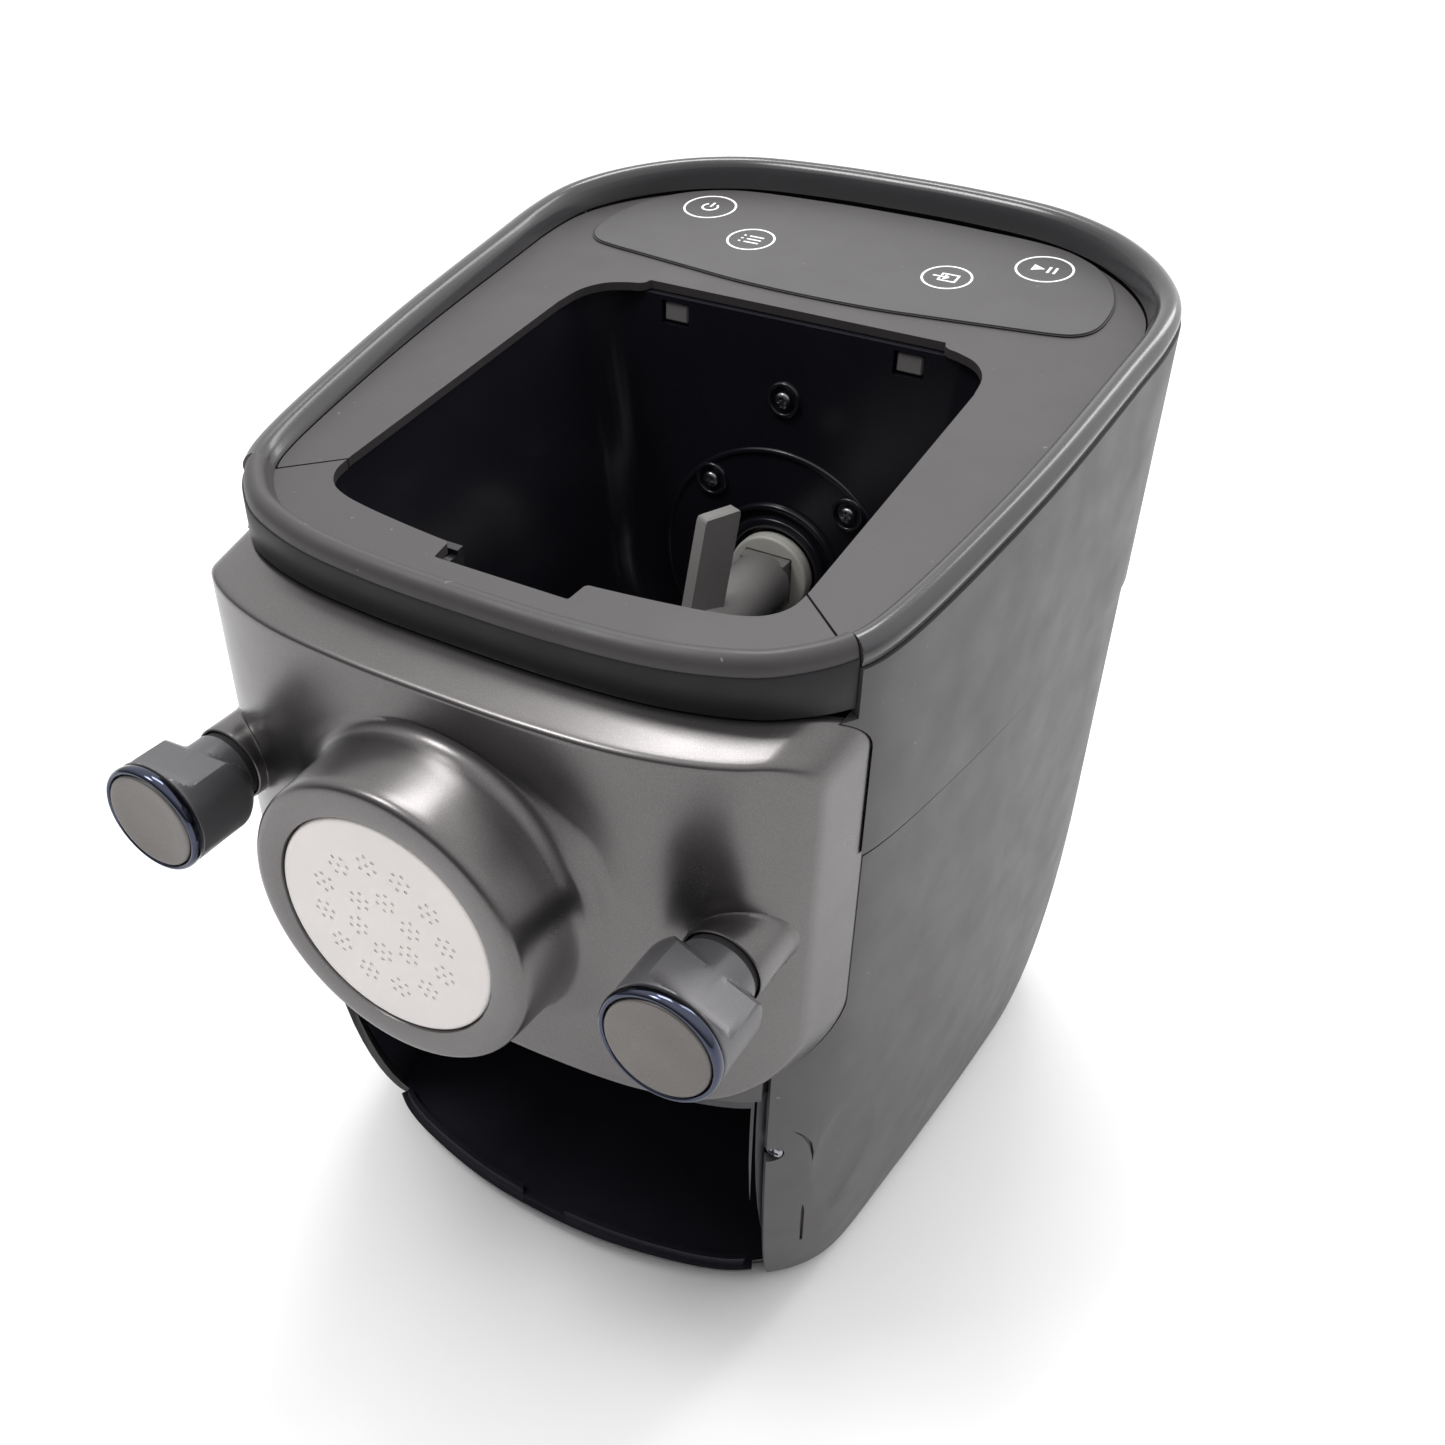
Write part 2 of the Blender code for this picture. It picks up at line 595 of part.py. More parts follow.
# ---- support frame behind the panel ---------------------------------------------------------------
frame_half = [plan_point(s, 0.2, 0.0105) for s in spread(0.0, 9.2, 8)]
frame_outer = [(-x, y) for x, y in frame_half[:0:-1]] + frame_half
frame_inner = [(x, y + 0.0040) for x, y in frame_outer[::-1]]
panel_support = slab("panel_support", frame_outer + frame_inner, lambda y: PANEL_LOW_Z + 0.0010,
                     lambda y: PANEL_TOP_Z - 0.0040, INNER_BLACK)
boolean(panel_support, cylinder("cut_support_tube", (0.0, 0.0, SHAFT_HEIGHT), 0.0345, -0.15,
                                -0.05, segments=36))
for side, label in ((-1, "left"), (1, "right")):
    centre = (side * KNOB_X, 0.0, KNOB_Z)
    boolean(panel_support, cylinder(f"add_support_boss_{label}", centre, 0.0085, -0.0955,
                                    -0.0800, segments=24), "UNION")
    boolean(panel_support, cylinder(f"cut_support_boss_{label}", centre, 0.0063, -0.15, -0.05,
                                    segments=24))
    ring(f"thread_insert_{label}", centre, 0.0040, 0.0060, -0.0950, -0.0805, BRASS, segments=20)

# ---- knobs ----------------------------------------------------------------------------------------
def set_origin(obj, origin):
    """Puts an object's origin on its joint without moving its shape."""
    shift = Vector(origin)
    obj.data.transform(Matrix.Translation(-shift))
    obj.location = shift
    return obj


# (radius, distance behind the face, distance of the two grip flats from the axis)
KNOB_STEM = 0.0113
KNOB_ROWS = [(0.0149, 0.0016, 1.0), (0.0149, 0.0042, 1.0), (0.0168, 0.0042, 1.0),
             (0.0169, 0.0050, 0.0158), (0.0169, 0.0062, 0.0132), (0.0169, 0.0080, 0.0118),
             (0.0169, 0.0110, 0.0115), (0.0169, 0.0220, 0.0112), (0.0165, 0.0232, 0.0098),
             (0.0156, 0.0250, 0.0075), (0.0141, 0.0270, 0.0050), (0.0122, 0.0286, 0.0030)]
KNOB_TAIL = [(KNOB_STEM, -0.1312), (KNOB_STEM, -0.1306), (0.0102, -0.1304), (0.0102, -0.1085),
             (0.0036, -0.1085), (0.0036, -0.0820), (0.0028, -0.0810)]
for side, label, flat_turn in ((-1, "left", 93.0), (1, "right", 66.0)):
    centre = (side * KNOB_X, 0.0, KNOB_Z)
    face = KNOB_FACE_Y
    ladder = [(r, face + along, flat) for r, along, flat in KNOB_ROWS]
    ladder += [(r, y, 1.0) for r, y in KNOB_TAIL]
    rows = []
    for r, y, flat in ladder:
        row = []
        for step in range(36):
            turn = math.radians(flat_turn + 10.0 * step)
            reach = min(r, flat / max(0.02, abs(math.cos(math.radians(10.0 * step)))))
            if r > KNOB_STEM:
                reach = max(reach, KNOB_STEM)
            row.append((side * KNOB_X + reach * math.cos(turn), y, KNOB_Z + reach * math.sin(turn)))
        rows.append(row)
    set_origin(loft(f"knob_{label}", rows, KNOB_GREY), (side * KNOB_X, face, KNOB_Z))
    knob_ring = ring(f"knob_ring_{label}", centre, 0.0153, 0.0171, face + 0.0003,
                     face + 0.0038, CHROME_DARK, segments=36)
    set_origin(knob_ring, (side * KNOB_X, face, KNOB_Z))
    dish = [(0.0, face + 0.0010), (0.0080, face + 0.0007), (0.0137, face + 0.0),
            (0.0149, face + 0.0003), (0.0149, face + 0.0013), (0.0, face + 0.0013)]
    set_origin(lathe(f"knob_cap_{label}", dish, centre, CAP_METAL, segments=36),
               (side * KNOB_X, face, KNOB_Z))
    set_origin(ring(f"captive_washer_{label}", centre, 0.0040, 0.0100, -0.1081, -0.1066,
                    STEEL, segments=28), (side * KNOB_X, face, KNOB_Z))

# ---- extruding tube, die and seal ---------------------------------------------------------------------
tube_profile = [(0.0262, -0.1455), (0.0350, -0.1455), (0.0350, -0.1400), (0.0300, -0.1385),
                (0.0290, -0.0950), (0.0290, -0.0790), (0.0262, -0.0790)]
lathe("extruding_tube", tube_profile, (0.0, 0.0, SHAFT_HEIGHT), INNER_BLACK, segments=40,
      closed=True)
ring("die_seal_ring", (0.0, 0.0, SHAFT_HEIGHT), 0.0290, 0.0370, -0.1485, -0.1459, RUBBER,
     segments=36)
die = lathe("die_disc", [(0.0, -0.1576), (0.0330, -0.1576), (0.0336, -0.1570),
                         (0.0336, -0.1555), (0.0370, -0.1555), (0.0370, -0.1489),
                         (0.0, -0.1489)], (0.0, 0.0, SHAFT_HEIGHT), DIE_WHITE, segments=48)
holes_verts, holes_faces = [], []
for count, radius, start in ((4, 0.0110, 0.4), (8, 0.0235, 0.0)):
    for index in range(count):
        turn = start + 2 * math.pi * index / count
        hx, hz = radius * math.cos(turn), SHAFT_HEIGHT + radius * math.sin(turn)
        base = len(holes_verts)
        for y in (-0.165, -0.140):
            for k in range(6):
                a = 2 * math.pi * k / 6
                holes_verts.append((hx + 0.0016 * math.cos(a), y, hz + 0.0016 * math.sin(a)))
        holes_faces.append(tuple(base + k for k in range(6)))
        holes_faces.append(tuple(base + 6 + k for k in range(5, -1, -1)))
        for k in range(6):
            n = (k + 1) % 6
            holes_faces.append((base + n, base + k, base + 6 + k, base + 6 + n))
boolean(die, new_object("cut_die_holes", holes_verts, holes_faces, None))

# ---- mixing chamber ---------------------------------------------------------------------------------
def tub_section(y, wall):
    """Open-topped trough section, left top down round the axis and up to the right top."""
    radius = TUB_RADIUS + wall
    points = [(-(TUB_TOP_HALF + wall), top_z(y) - 0.0032)]
    points.append((-(radius + 0.0030), SHAFT_HEIGHT + 0.030))
    for i in range(13):
        turn = math.pi + math.pi * i / 12
        points.append((radius * math.cos(turn), SHAFT_HEIGHT + radius * math.sin(turn)))
    points.append((radius + 0.0030, SHAFT_HEIGHT + 0.030))
    points.append((TUB_TOP_HALF + wall, top_z(y) - 0.0032))
    return [(x, y, z) for x, z in points]


tub_stations = [TUB_FRONT_Y - TUB_WALL, -0.04, 0.02, TUB_REAR_Y + TUB_WALL]
outer = [tub_section(y, TUB_WALL) for y in tub_stations]
inner = [tub_section(y, 0.0) for y in [TUB_FRONT_Y, -0.04, 0.02, TUB_REAR_Y]]
count = len(outer[0])
verts = [v for row in outer + inner for v in row]
faces = []
for block in (0, 4):
    for i in range(3):
        for j in range(count - 1):
            a = (block + i) * count + j
            faces.append((a, a + 1, a + 1 + count, a + count))
    faces.append(tuple(block * count + j for j in range(count)))
    faces.append(tuple((block + 3) * count + j for j in range(count)))
for j in (0, count - 1):
    for i in range(3):
        a, b = i * count + j, (4 + i) * count + j
        faces.append((a, a + count, b + count, b))
for i in (0, 3):
    a, b = i * count, (4 + i) * count
    faces.append((a, a + count - 1, b + count - 1, b))
mixing_chamber = new_object("mixing_chamber", verts, faces, CHAMBER_BLACK)
boolean(mixing_chamber, cylinder("cut_tub_front", (0.0, 0.0, SHAFT_HEIGHT), 0.0294, -0.12,
                                 -0.07, segments=40))
boolean(mixing_chamber, cylinder("cut_tub_rear", (0.0, 0.0, SHAFT_HEIGHT), 0.0124, 0.05,
                                 0.09, segments=32))
screw_places = [("upper", 0.0, 0.2617), ("left", -0.0272, 0.2256), ("right", 0.0272, 0.2256)]
for label, x, z in screw_places:
    boolean(mixing_chamber, cylinder(f"cut_tub_screw_{label}", (x, 0.0, z), 0.0026, 0.05, 0.09,
                                     segments=16))
    lathe(f"chamber_screw_{label}", [(0.0, 0.0602), (0.0036, 0.0602), (0.0042, 0.0610),
                                     (0.0042, 0.0633), (0.0022, 0.0633), (0.0022, 0.0760),
                                     (0.0, 0.0760)], (x, 0.0, z), STEEL, segments=16)
hub_section = [(0.0168, 0.0633), (0.0168, 0.0606), (0.0205, 0.0606), (0.0215, 0.0618),
               (0.0225, 0.0606), (0.0250, 0.0606), (0.0262, 0.0633)]
lathe("chamber_hub_ring", hub_section, (0.0, 0.0, SHAFT_HEIGHT), CHAMBER_BLACK, segments=40,
      closed=True)

# ---- drive train --------------------------------------------------------------------------------------
coupling = lathe("drive_coupling", [(0.0, 0.0575), (0.0150, 0.0575), (0.0155, 0.0583),
                                    (0.0155, 0.0628), (0.0085, 0.0632), (0.0085, 0.0960),
                                    (0.0, 0.0960)], (0.0, 0.0, SHAFT_HEIGHT), DRIVE_GREY,
                 segments=32)
boolean(coupling, box("cut_coupling_square", (-0.0092, 0.03, SHAFT_HEIGHT - 0.0092),
                      (0.0092, 0.0620, SHAFT_HEIGHT + 0.0092)))
ring("shaft_seal", (0.0, 0.0, SHAFT_HEIGHT), 0.0089, 0.0120, 0.0636, 0.0680, RUBBER,
     segments=28)

paddle = lathe("mixing_paddle", [(0.0, -0.0540), (0.0100, -0.0540), (0.0116, -0.0520),
                                 (0.0116, 0.0520), (0.0108, 0.0545), (0.0, 0.0545)],
               (0.0, 0.0, SHAFT_HEIGHT), PADDLE_GREY, segments=32)
boolean(paddle, box("add_paddle_square", (-0.0088, 0.0520, SHAFT_HEIGHT - 0.0088),
                    (0.0088, 0.0612, SHAFT_HEIGHT + 0.0088)), "UNION")


def paddle_arm(name, y_root, y_tip, turn, reach):
    """Flat bar out from the hub, leaning along the shaft, with a chamfered tip."""
    wide, thick = 0.0072, 0.0026
    rows = []
    for share, w in ((0.0, wide), (0.93, wide), (1.0, wide * 0.72)):
        radial = 0.004 + (reach - 0.004) * share
        y = y_root + (y_tip - y_root) * share
        row = []
        for a, b in ((-w, -thick), (w, -thick), (w, thick), (-w, thick)):
            # across the bar: mostly along the shaft, turned a little so it pushes dough
            across, along = a * 0.42 + b * 0.90, a * 0.90 - b * 0.42
            x = radial * math.sin(turn) + across * math.cos(turn)
            z = radial * math.cos(turn) - across * math.sin(turn)
            row.append((x, y + along, SHAFT_HEIGHT + z))
        rows.append(row)
    return loft(name, rows, None)


boolean(paddle, paddle_arm("add_arm_rear", 0.007, 0.021, math.radians(-1), 0.0420), "UNION")
boolean(paddle, paddle_arm("add_arm_middle", -0.006, -0.014, math.radians(160), 0.0560), "UNION")
boolean(paddle, paddle_arm("add_arm_front", -0.030, -0.038, math.radians(38), 0.0480), "UNION")

# Auger: one screw flight on a core, twisted along the tube
AUGER_LENGTH, AUGER_PITCH = 0.0896, 0.0340
auger_rows = []
around, along_steps = 28, 30
for i in range(along_steps + 1):
    y = -0.1440 + AUGER_LENGTH * i / along_steps
    row = []
    for j in range(around):
        turn = 2 * math.pi * j / around
        phase = (turn - 2 * math.pi * (y + 0.144) / AUGER_PITCH) % (2 * math.pi)
        away = min(phase, 2 * math.pi - phase)
        lift = max(0.0, min(1.0, (0.62 - away) / 0.26))
        radius = 0.0100 + 0.0155 * lift
        row.append((radius * math.cos(turn), y, SHAFT_HEIGHT + radius * math.sin(turn)))
    auger_rows.append(row)
auger = loft("auger_screw", auger_rows, PADDLE_GREY)

for name in ("drive_coupling", "mixing_paddle", "auger_screw"):
    set_origin(bpy.data.objects[name], (0.0, 0.0, SHAFT_HEIGHT))

# ---- gearbox, motor and boards --------------------------------------------------------------------------
def gear(name, centre, root, tip, teeth, y0, y1, mat, bore=0.0):
    loop = []
    for i in range(teeth):
        for share, r in ((0.0, root), (0.42, root), (0.54, tip), (0.80, tip), (0.92, root)):
            turn = 2 * math.pi * (i + share - 0.17) / teeth
            loop.append((centre[0] + r * math.cos(turn), centre[2] + r * math.sin(turn)))
    made = prism_y(name, loop, y0, y1, mat)
    if bore:
        boolean(made, cylinder(f"cut_{name}_bore", centre, bore, y0 - 0.01, y1 + 0.01,
                               segments=24))
    return set_origin(made, centre)


MOTOR_Z = 0.1390
GEAR_TEETH, PINION_TEETH = 24, 6
gear("output_gear", (0.0, 0.0, SHAFT_HEIGHT), 0.0439, 0.0470, GEAR_TEETH, 0.0760, 0.0860,
     GEAR_WHITE, 0.0089)
gear("motor_pinion", (0.0, 0.0, MOTOR_Z), 0.0097, 0.0129, PINION_TEETH, 0.0760, 0.0860,
     GEAR_WHITE, 0.0030)

gearbox = box("gearbox_housing", (-0.0520, 0.0715, 0.1210), (0.0520, 0.0915, 0.2480),
              INNER_BLACK, 0.0015)
boolean(gearbox, box("cut_gearbox_inside", (-0.0495, 0.0738, 0.1235), (0.0495, 0.0885, 0.2455)))
boolean(gearbox, cylinder("cut_gearbox_shaft", (0.0, 0.0, SHAFT_HEIGHT), 0.0092, 0.06, 0.12,
                          segments=28))
boolean(gearbox, cylinder("cut_gearbox_motor", (0.0, 0.0, MOTOR_Z), 0.0050, 0.080, 0.12,
                          segments=20))
for label, x, z in screw_places:
    boolean(gearbox, cylinder(f"cut_gearbox_screw_{label}", (x, 0.0, z), 0.0026, 0.06, 0.0770,
                              segments=16))
ring("output_bearing", (0.0, 0.0, SHAFT_HEIGHT), 0.0090, 0.0150, 0.0920, 0.0960, STEEL,
     segments=28)

motor = lathe("motor_can", [(0.0036, 0.0922), (0.0320, 0.0922), (0.0340, 0.0940),
                            (0.0340, 0.1290), (0.0320, 0.1308), (0.0036, 0.1308),
                            (0.0036, 0.1286), (0.0250, 0.1286), (0.0250, 0.0945),
                            (0.0036, 0.0945)], (0.0, 0.0, MOTOR_Z), MOTOR_STEEL,
              segments=36, closed=True)
rotor = lathe("motor_rotor", [(0.0, 0.0745), (0.0026, 0.0745), (0.0026, 0.0980),
                              (0.0235, 0.0980), (0.0235, 0.1250), (0.0026, 0.1250),
                              (0.0026, 0.1430), (0.0, 0.1430)], (0.0, 0.0, MOTOR_Z),
              MOTOR_STEEL, segments=28)
set_origin(rotor, (0.0, 0.0, MOTOR_Z))
fan_loop = []
for i in range(7):
    for share, r in ((0.0, 0.0062), (0.30, 0.0062), (0.36, 0.0290), (0.62, 0.0290)):
        turn = 2 * math.pi * (i + share) / 7
        fan_loop.append((r * math.cos(turn), MOTOR_Z + r * math.sin(turn)))
fan = prism_y("cooling_fan", fan_loop, 0.1330, 0.1410, INNER_BLACK)
boolean(fan, cylinder("cut_fan_bore", (0.0, 0.0, MOTOR_Z), 0.0030, 0.12, 0.15, segments=20))
set_origin(fan, (0.0, 0.0, MOTOR_Z))

box("main_board", (-0.0600, 0.0560, 0.0400), (0.0600, 0.0576, 0.1050), BOARD_GREEN)
board_rows = [[(x, y, top_z(y) - d) for x, y in ((-0.070, 0.096), (0.070, 0.096),
                                                (0.070, 0.138), (-0.070, 0.138))]
              for d in (0.0096, 0.0080)]
loft("display_board", board_rows, BOARD_GREEN)

# ---- lid safety switches, reached through windows high in the chamber's rear wall ----------------
for side, label in ((-1, "left"), (1, "right")):
    x = side * 0.0434
    boolean(mixing_chamber, box(f"cut_window_{label}", (x - 0.0054, 0.055, 0.2790),
                                (x + 0.0054, 0.080, 0.2870)))
    switch = box(f"lid_switch_{label}", (x - 0.0046, 0.0646, 0.2798), (x + 0.0046, 0.0765, 0.2862),
                 DRIVE_GREY, 0.0006)
    set_origin(switch, (x, 0.0646, 0.2830))
    guide = box(f"switch_guide_{label}", (x - 0.0075, 0.0670, 0.2770),
                (x + 0.0075, 0.0740, 0.2890), INNER_BLACK)
    boolean(guide, box(f"cut_guide_{label}", (x - 0.0051, 0.0600, 0.2793),
                       (x + 0.0051, 0.0800, 0.2867)))

# ---- screws beside the bay --------------------------------------------------------------------------
for side, label in ((-1, "left"), (1, "right")):
    x = side * 0.0905
    z = 0.0950
    low = plan_point(side * 8.6, z)[1]
    lathe(f"column_screw_{label}", [(0.0, low + 0.0045), (0.0030, low + 0.0045),
                                    (0.0036, low + 0.0052), (0.0036, low + 0.0060),
                                    (0.0014, low + 0.0062), (0.0014, low + 0.0140),
                                    (0.0, low + 0.0140)], (x, 0.0, z), STEEL, segments=14)
    boolean(bpy.data.objects[f"side_shell_{label}"],
            cylinder(f"cut_column_screw_{label}", (x, 0.0, z), 0.0041, -0.2, -0.0650,
                     segments=16))
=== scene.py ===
"""Looks of the automatic pasta maker, built round its CAD frame. Metres, front -Y, +Z up."""
import json
import math

import bmesh
import bpy
from mathutils import Matrix, Vector

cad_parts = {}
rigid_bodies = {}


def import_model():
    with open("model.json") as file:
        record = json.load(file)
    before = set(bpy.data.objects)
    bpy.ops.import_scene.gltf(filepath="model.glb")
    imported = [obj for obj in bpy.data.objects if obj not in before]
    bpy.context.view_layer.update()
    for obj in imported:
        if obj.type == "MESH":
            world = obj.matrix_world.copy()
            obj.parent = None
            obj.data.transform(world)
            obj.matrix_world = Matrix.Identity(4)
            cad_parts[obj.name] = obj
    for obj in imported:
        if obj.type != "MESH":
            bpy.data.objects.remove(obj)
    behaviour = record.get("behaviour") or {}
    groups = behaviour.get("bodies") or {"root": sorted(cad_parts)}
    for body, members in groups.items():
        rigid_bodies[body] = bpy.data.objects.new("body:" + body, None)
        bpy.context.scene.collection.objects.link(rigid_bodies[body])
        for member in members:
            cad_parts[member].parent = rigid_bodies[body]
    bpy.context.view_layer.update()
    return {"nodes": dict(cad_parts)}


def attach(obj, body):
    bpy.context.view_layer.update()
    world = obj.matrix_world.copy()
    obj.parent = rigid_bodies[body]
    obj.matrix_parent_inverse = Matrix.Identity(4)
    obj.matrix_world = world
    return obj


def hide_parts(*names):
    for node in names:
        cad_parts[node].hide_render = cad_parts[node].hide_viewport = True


for old in list(bpy.data.objects):
    bpy.data.objects.remove(old, do_unlink=True)
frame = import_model()

# ---- sizes shared with the CAD part
MM = 0.001
SHAFT_Z = 0.196
KNOB_X, KNOB_Z = 0.0836, 0.1975
GAP = 0.0004
SKIN = 0.0026
CURVE_TOP_Z = 0.11
BAND_Z = 0.2107
BAND_STEP = 0.0008
TRIM_HEIGHT = 0.007
REAR_SEAM_Y = 0.112
PANEL_TOP_Z, PANEL_LOW_Z = 0.259, 0.129
PANEL_BACK_Y = -0.0825
PANEL_WALL = 0.003
BOSS_FACE_Y = -0.1592
SOCKET_FACE_Y = -0.1284
KNOB_FACE_Y = -0.16
TUB_REAR_Y, TUB_FRONT_Y = 0.0637, -0.088
TUB_RADIUS, TUB_TOP_HALF, TUB_WALL = 0.064, 0.0755, 0.0025
BAY_TOP_Z, BAY_HALF, BAY_REAR_Y = 0.12, 0.085, 0.04
SCREW_X, SCREW_Z = 0.0885, 0.095
SEAM_Z = 0.25            # height at which plan outlines of the top parts are taken
CAP_INSET = 0.0092       # where the rim meets the recessed top
SOCKET_BORE = 0.0113     # clearance bore in each knob socket, and the knob's stem
DIE_PITCHES = [(0.0096, 6, 20.0), (0.0205, 12, 8.0)]   # (radius, clusters, first angle)
DIE_HOLE, DIE_HOLE_STEP = 0.00068, 0.0028
TOP_FRONT_Y = -0.076
TOP_FRONT_Z, TOP_SLOPE = 0.27467, 0.1229
RIM_FRONT_Z, RIM_SLOPE = 0.28027, 0.1442

# half outlines in millimetres: (x, y) from the front centre to the rear centre
RIM_OUTLINE = [
    (0, -117.2), (28, -116.7), (55, -114), (76, -108), (88, -100.5), (98, -89.2),
    (103.6, -74), (109, -40), (114, 5), (117.4, 60), (118.5, 84), (116.6, 103),
    (109.5, 119), (97, 134), (80, 146.4), (58, 154.8), (28, 158.5), (0, 159.2),
]
BASE_OUTLINE = [
    (0, -100.3), (25, -98.5), (50, -92.5), (68, -86), (81, -76.5), (91, -65),
    (96.5, -50), (100, -20), (104, 20), (107.5, 62), (108.5, 84), (107, 101),
    (100.5, 116), (88, 131), (72, 142), (53, 149), (26, 151), (0, 151.5),
]
LAST = 2.0 * (len(RIM_OUTLINE) - 1)
S_SEAM = 10.0            # station of the seam between front cap and side wall
S_COLUMN = 7.9           # station where the side wall begins beside the drawer bay


def top_z(y):
    """Height of the recessed top surface."""
    return TOP_FRONT_Z + TOP_SLOPE * (y - TOP_FRONT_Y)


def rim_z(y):
    """Height of the raised rim."""
    return RIM_FRONT_Z + RIM_SLOPE * (y - TOP_FRONT_Y)


# ---- materials
def surface(name, colour, rough, metal=0.0, grain=0.3, size=0.0005, mottle=0.1, dust=0.0,
            coat=0.0, coat_rough=0.06, ior=1.5, flake=0.0, rough_spread=0.12, streak=None,
            scatter=0.0):
    """Procedural finish: tone drift, fine grain in colour, roughness and relief, dust or flakes."""
    mat = bpy.data.materials.new(name)
    mat.use_nodes = True
    nodes, links = mat.node_tree.nodes, mat.node_tree.links
    shader = nodes["Principled BSDF"]
    place = nodes.new("ShaderNodeTexCoord").outputs["Object"]
    if streak:
        squeeze = nodes.new("ShaderNodeMapping")
        squeeze.inputs["Scale"].default_value = streak
        links.new(place, squeeze.inputs["Vector"])
        stretched = squeeze.outputs["Vector"]
    else:
        stretched = place

    def noise(scale, detail, source):
        tex = nodes.new("ShaderNodeTexNoise")
        tex.inputs["Scale"].default_value = scale
        tex.inputs["Detail"].default_value = detail
        links.new(source, tex.inputs["Vector"])
        return tex.outputs["Fac"]

    def remap(value, from_low, from_high, to_low, to_high):
        node = nodes.new("ShaderNodeMapRange")
        for key, number in zip(("From Min", "From Max", "To Min", "To Max"),
                               (from_low, from_high, to_low, to_high)):
            node.inputs[key].default_value = number
        links.new(value, node.inputs["Value"])
        return node.outputs["Result"]

    def blend(factor, a, b):
        node = nodes.new("ShaderNodeMix")
        node.data_type = "RGBA"
        links.new(factor, node.inputs["Factor"])
        for socket, tone in (("A", a), ("B", b)):
            if isinstance(tone, tuple):
                [i for i in node.inputs if i.name == socket and i.type == "RGBA"][0] \
                    .default_value = (*tone, 1.0)
            else:
                links.new(tone, [i for i in node.inputs
                                 if i.name == socket and i.type == "RGBA"][0])
        return [o for o in node.outputs if o.type == "RGBA"][0]

    broad = noise(28.0, 3.0, place)
    fine = noise(1.0 / size, 2.0, stretched)
    dark = tuple(c * (1 - mottle) for c in colour)
    light = tuple(min(1.0, c * (1 + mottle)) for c in colour)
    tone = blend(remap(broad, 0.3, 0.7, 0.0, 1.0), dark, light)
    if flake:
        glint = remap(noise(1.6 / size, 0.0, place), 0.45, 0.72, 0.0, flake)
        tone = blend(glint, tone, tuple(min(1.0, c * 2.6) for c in colour))
    else:
        shade = remap(fine, 0.3, 0.7, 0.0, mottle)
        tone = blend(shade, tone, tuple(c * 0.35 for c in colour))
    if dust:
        speck = remap(noise(420.0, 2.0, place), 0.735, 0.8, 0.0, 0.55 * dust)
        tone = blend(speck, tone, (0.42, 0.4, 0.38))
        smear = remap(noise(14.0, 3.0, place), 0.5, 0.85, 0.0, 0.035 * dust)
        tone = blend(smear, tone, (0.3, 0.285, 0.28))
    links.new(tone, shader.inputs["Base Color"])
    uneven = remap(noise(60.0, 4.0, stretched), 0.25, 0.75, rough * (1 - rough_spread),
                   rough * (1 + rough_spread))
    links.new(uneven, shader.inputs["Roughness"])
    relief = nodes.new("ShaderNodeBump")
    relief.inputs["Strength"].default_value = grain
    relief.inputs["Distance"].default_value = size * 0.12
    links.new(fine, relief.inputs["Height"])
    links.new(relief.outputs["Normal"], shader.inputs["Normal"])
    shader.inputs["Metallic"].default_value = metal
    shader.inputs["IOR"].default_value = ior
    shader.inputs["Coat Weight"].default_value = coat
    shader.inputs["Coat Roughness"].default_value = coat_rough
    if scatter:
        shader.inputs["Subsurface Weight"].default_value = scatter
        shader.inputs["Subsurface Radius"].default_value = (0.004, 0.003, 0.0025)
        shader.inputs["Subsurface Scale"].default_value = 0.5
    return mat


SHELL = surface("shell_matte", (0.064, 0.06, 0.062), 0.5, grain=0.35, size=0.00045, dust=0.4,
                mottle=0.05)
DECK = surface("deck_matte", (0.044, 0.04, 0.042), 0.46, grain=0.3, size=0.00045, dust=0.5,
               mottle=0.05)
# painted shade: near-black finish for the band under the cap's lip, standing for the lip's shadow
LIP_SHADE = surface("lip_painted_shade", (0.013, 0.012, 0.014), 0.5, ior=1.38, grain=0.1, size=0.0006,
               mottle=0.05)
GLOSS = surface("trim_gloss", (0.036, 0.034, 0.037), 0.25, grain=0.04, size=0.0012, mottle=0.04,
                dust=0.12, coat=0.3, coat_rough=0.12)
CHAMBER = surface("chamber_gloss", (0.01, 0.0098, 0.014), 0.22, grain=0.1, size=0.0012,
                  mottle=0.12)
METAL = surface("panel_metal", (0.122, 0.116, 0.116), 0.3, metal=0.92, grain=0.08, size=0.0004,
                mottle=0.03, flake=0.16, coat=0.08, coat_rough=0.28)
GRIP = surface("knob_satin", (0.098, 0.095, 0.101), 0.33, metal=0.4, grain=0.14, size=0.0004,
               mottle=0.04, flake=0.12)
CHROME = surface("knob_chrome", (0.06, 0.066, 0.095), 0.08, metal=1.0, grain=0.02, size=0.0015,
                 mottle=0.04)
CAP = surface("knob_cap", (0.135, 0.125, 0.12), 0.42, metal=0.75, grain=0.12, size=0.00035,
              flake=0.15)
DIE = surface("die_plastic", (0.74, 0.7, 0.685), 0.42, grain=0.12, size=0.0006, mottle=0.03,
              scatter=0.25)
LIGHT = surface("drive_plastic", (0.52, 0.51, 0.47), 0.4, grain=0.15, size=0.0006, mottle=0.06)
PADDLE = surface("paddle_plastic", (0.19, 0.18, 0.178), 0.42, grain=0.25, size=0.0007, dust=0.3)
RUBBER = surface("rubber_foot", (0.012, 0.012, 0.012), 0.8, grain=0.5, size=0.0008, ior=1.45)
STEEL = surface("screw_steel", (0.3, 0.3, 0.32), 0.28, metal=1.0, grain=0.1, size=0.0004)
BRASS = surface("insert_brass", (0.62, 0.44, 0.18), 0.34, metal=1.0, grain=0.2, size=0.0004,
                streak=(1, 8, 1))
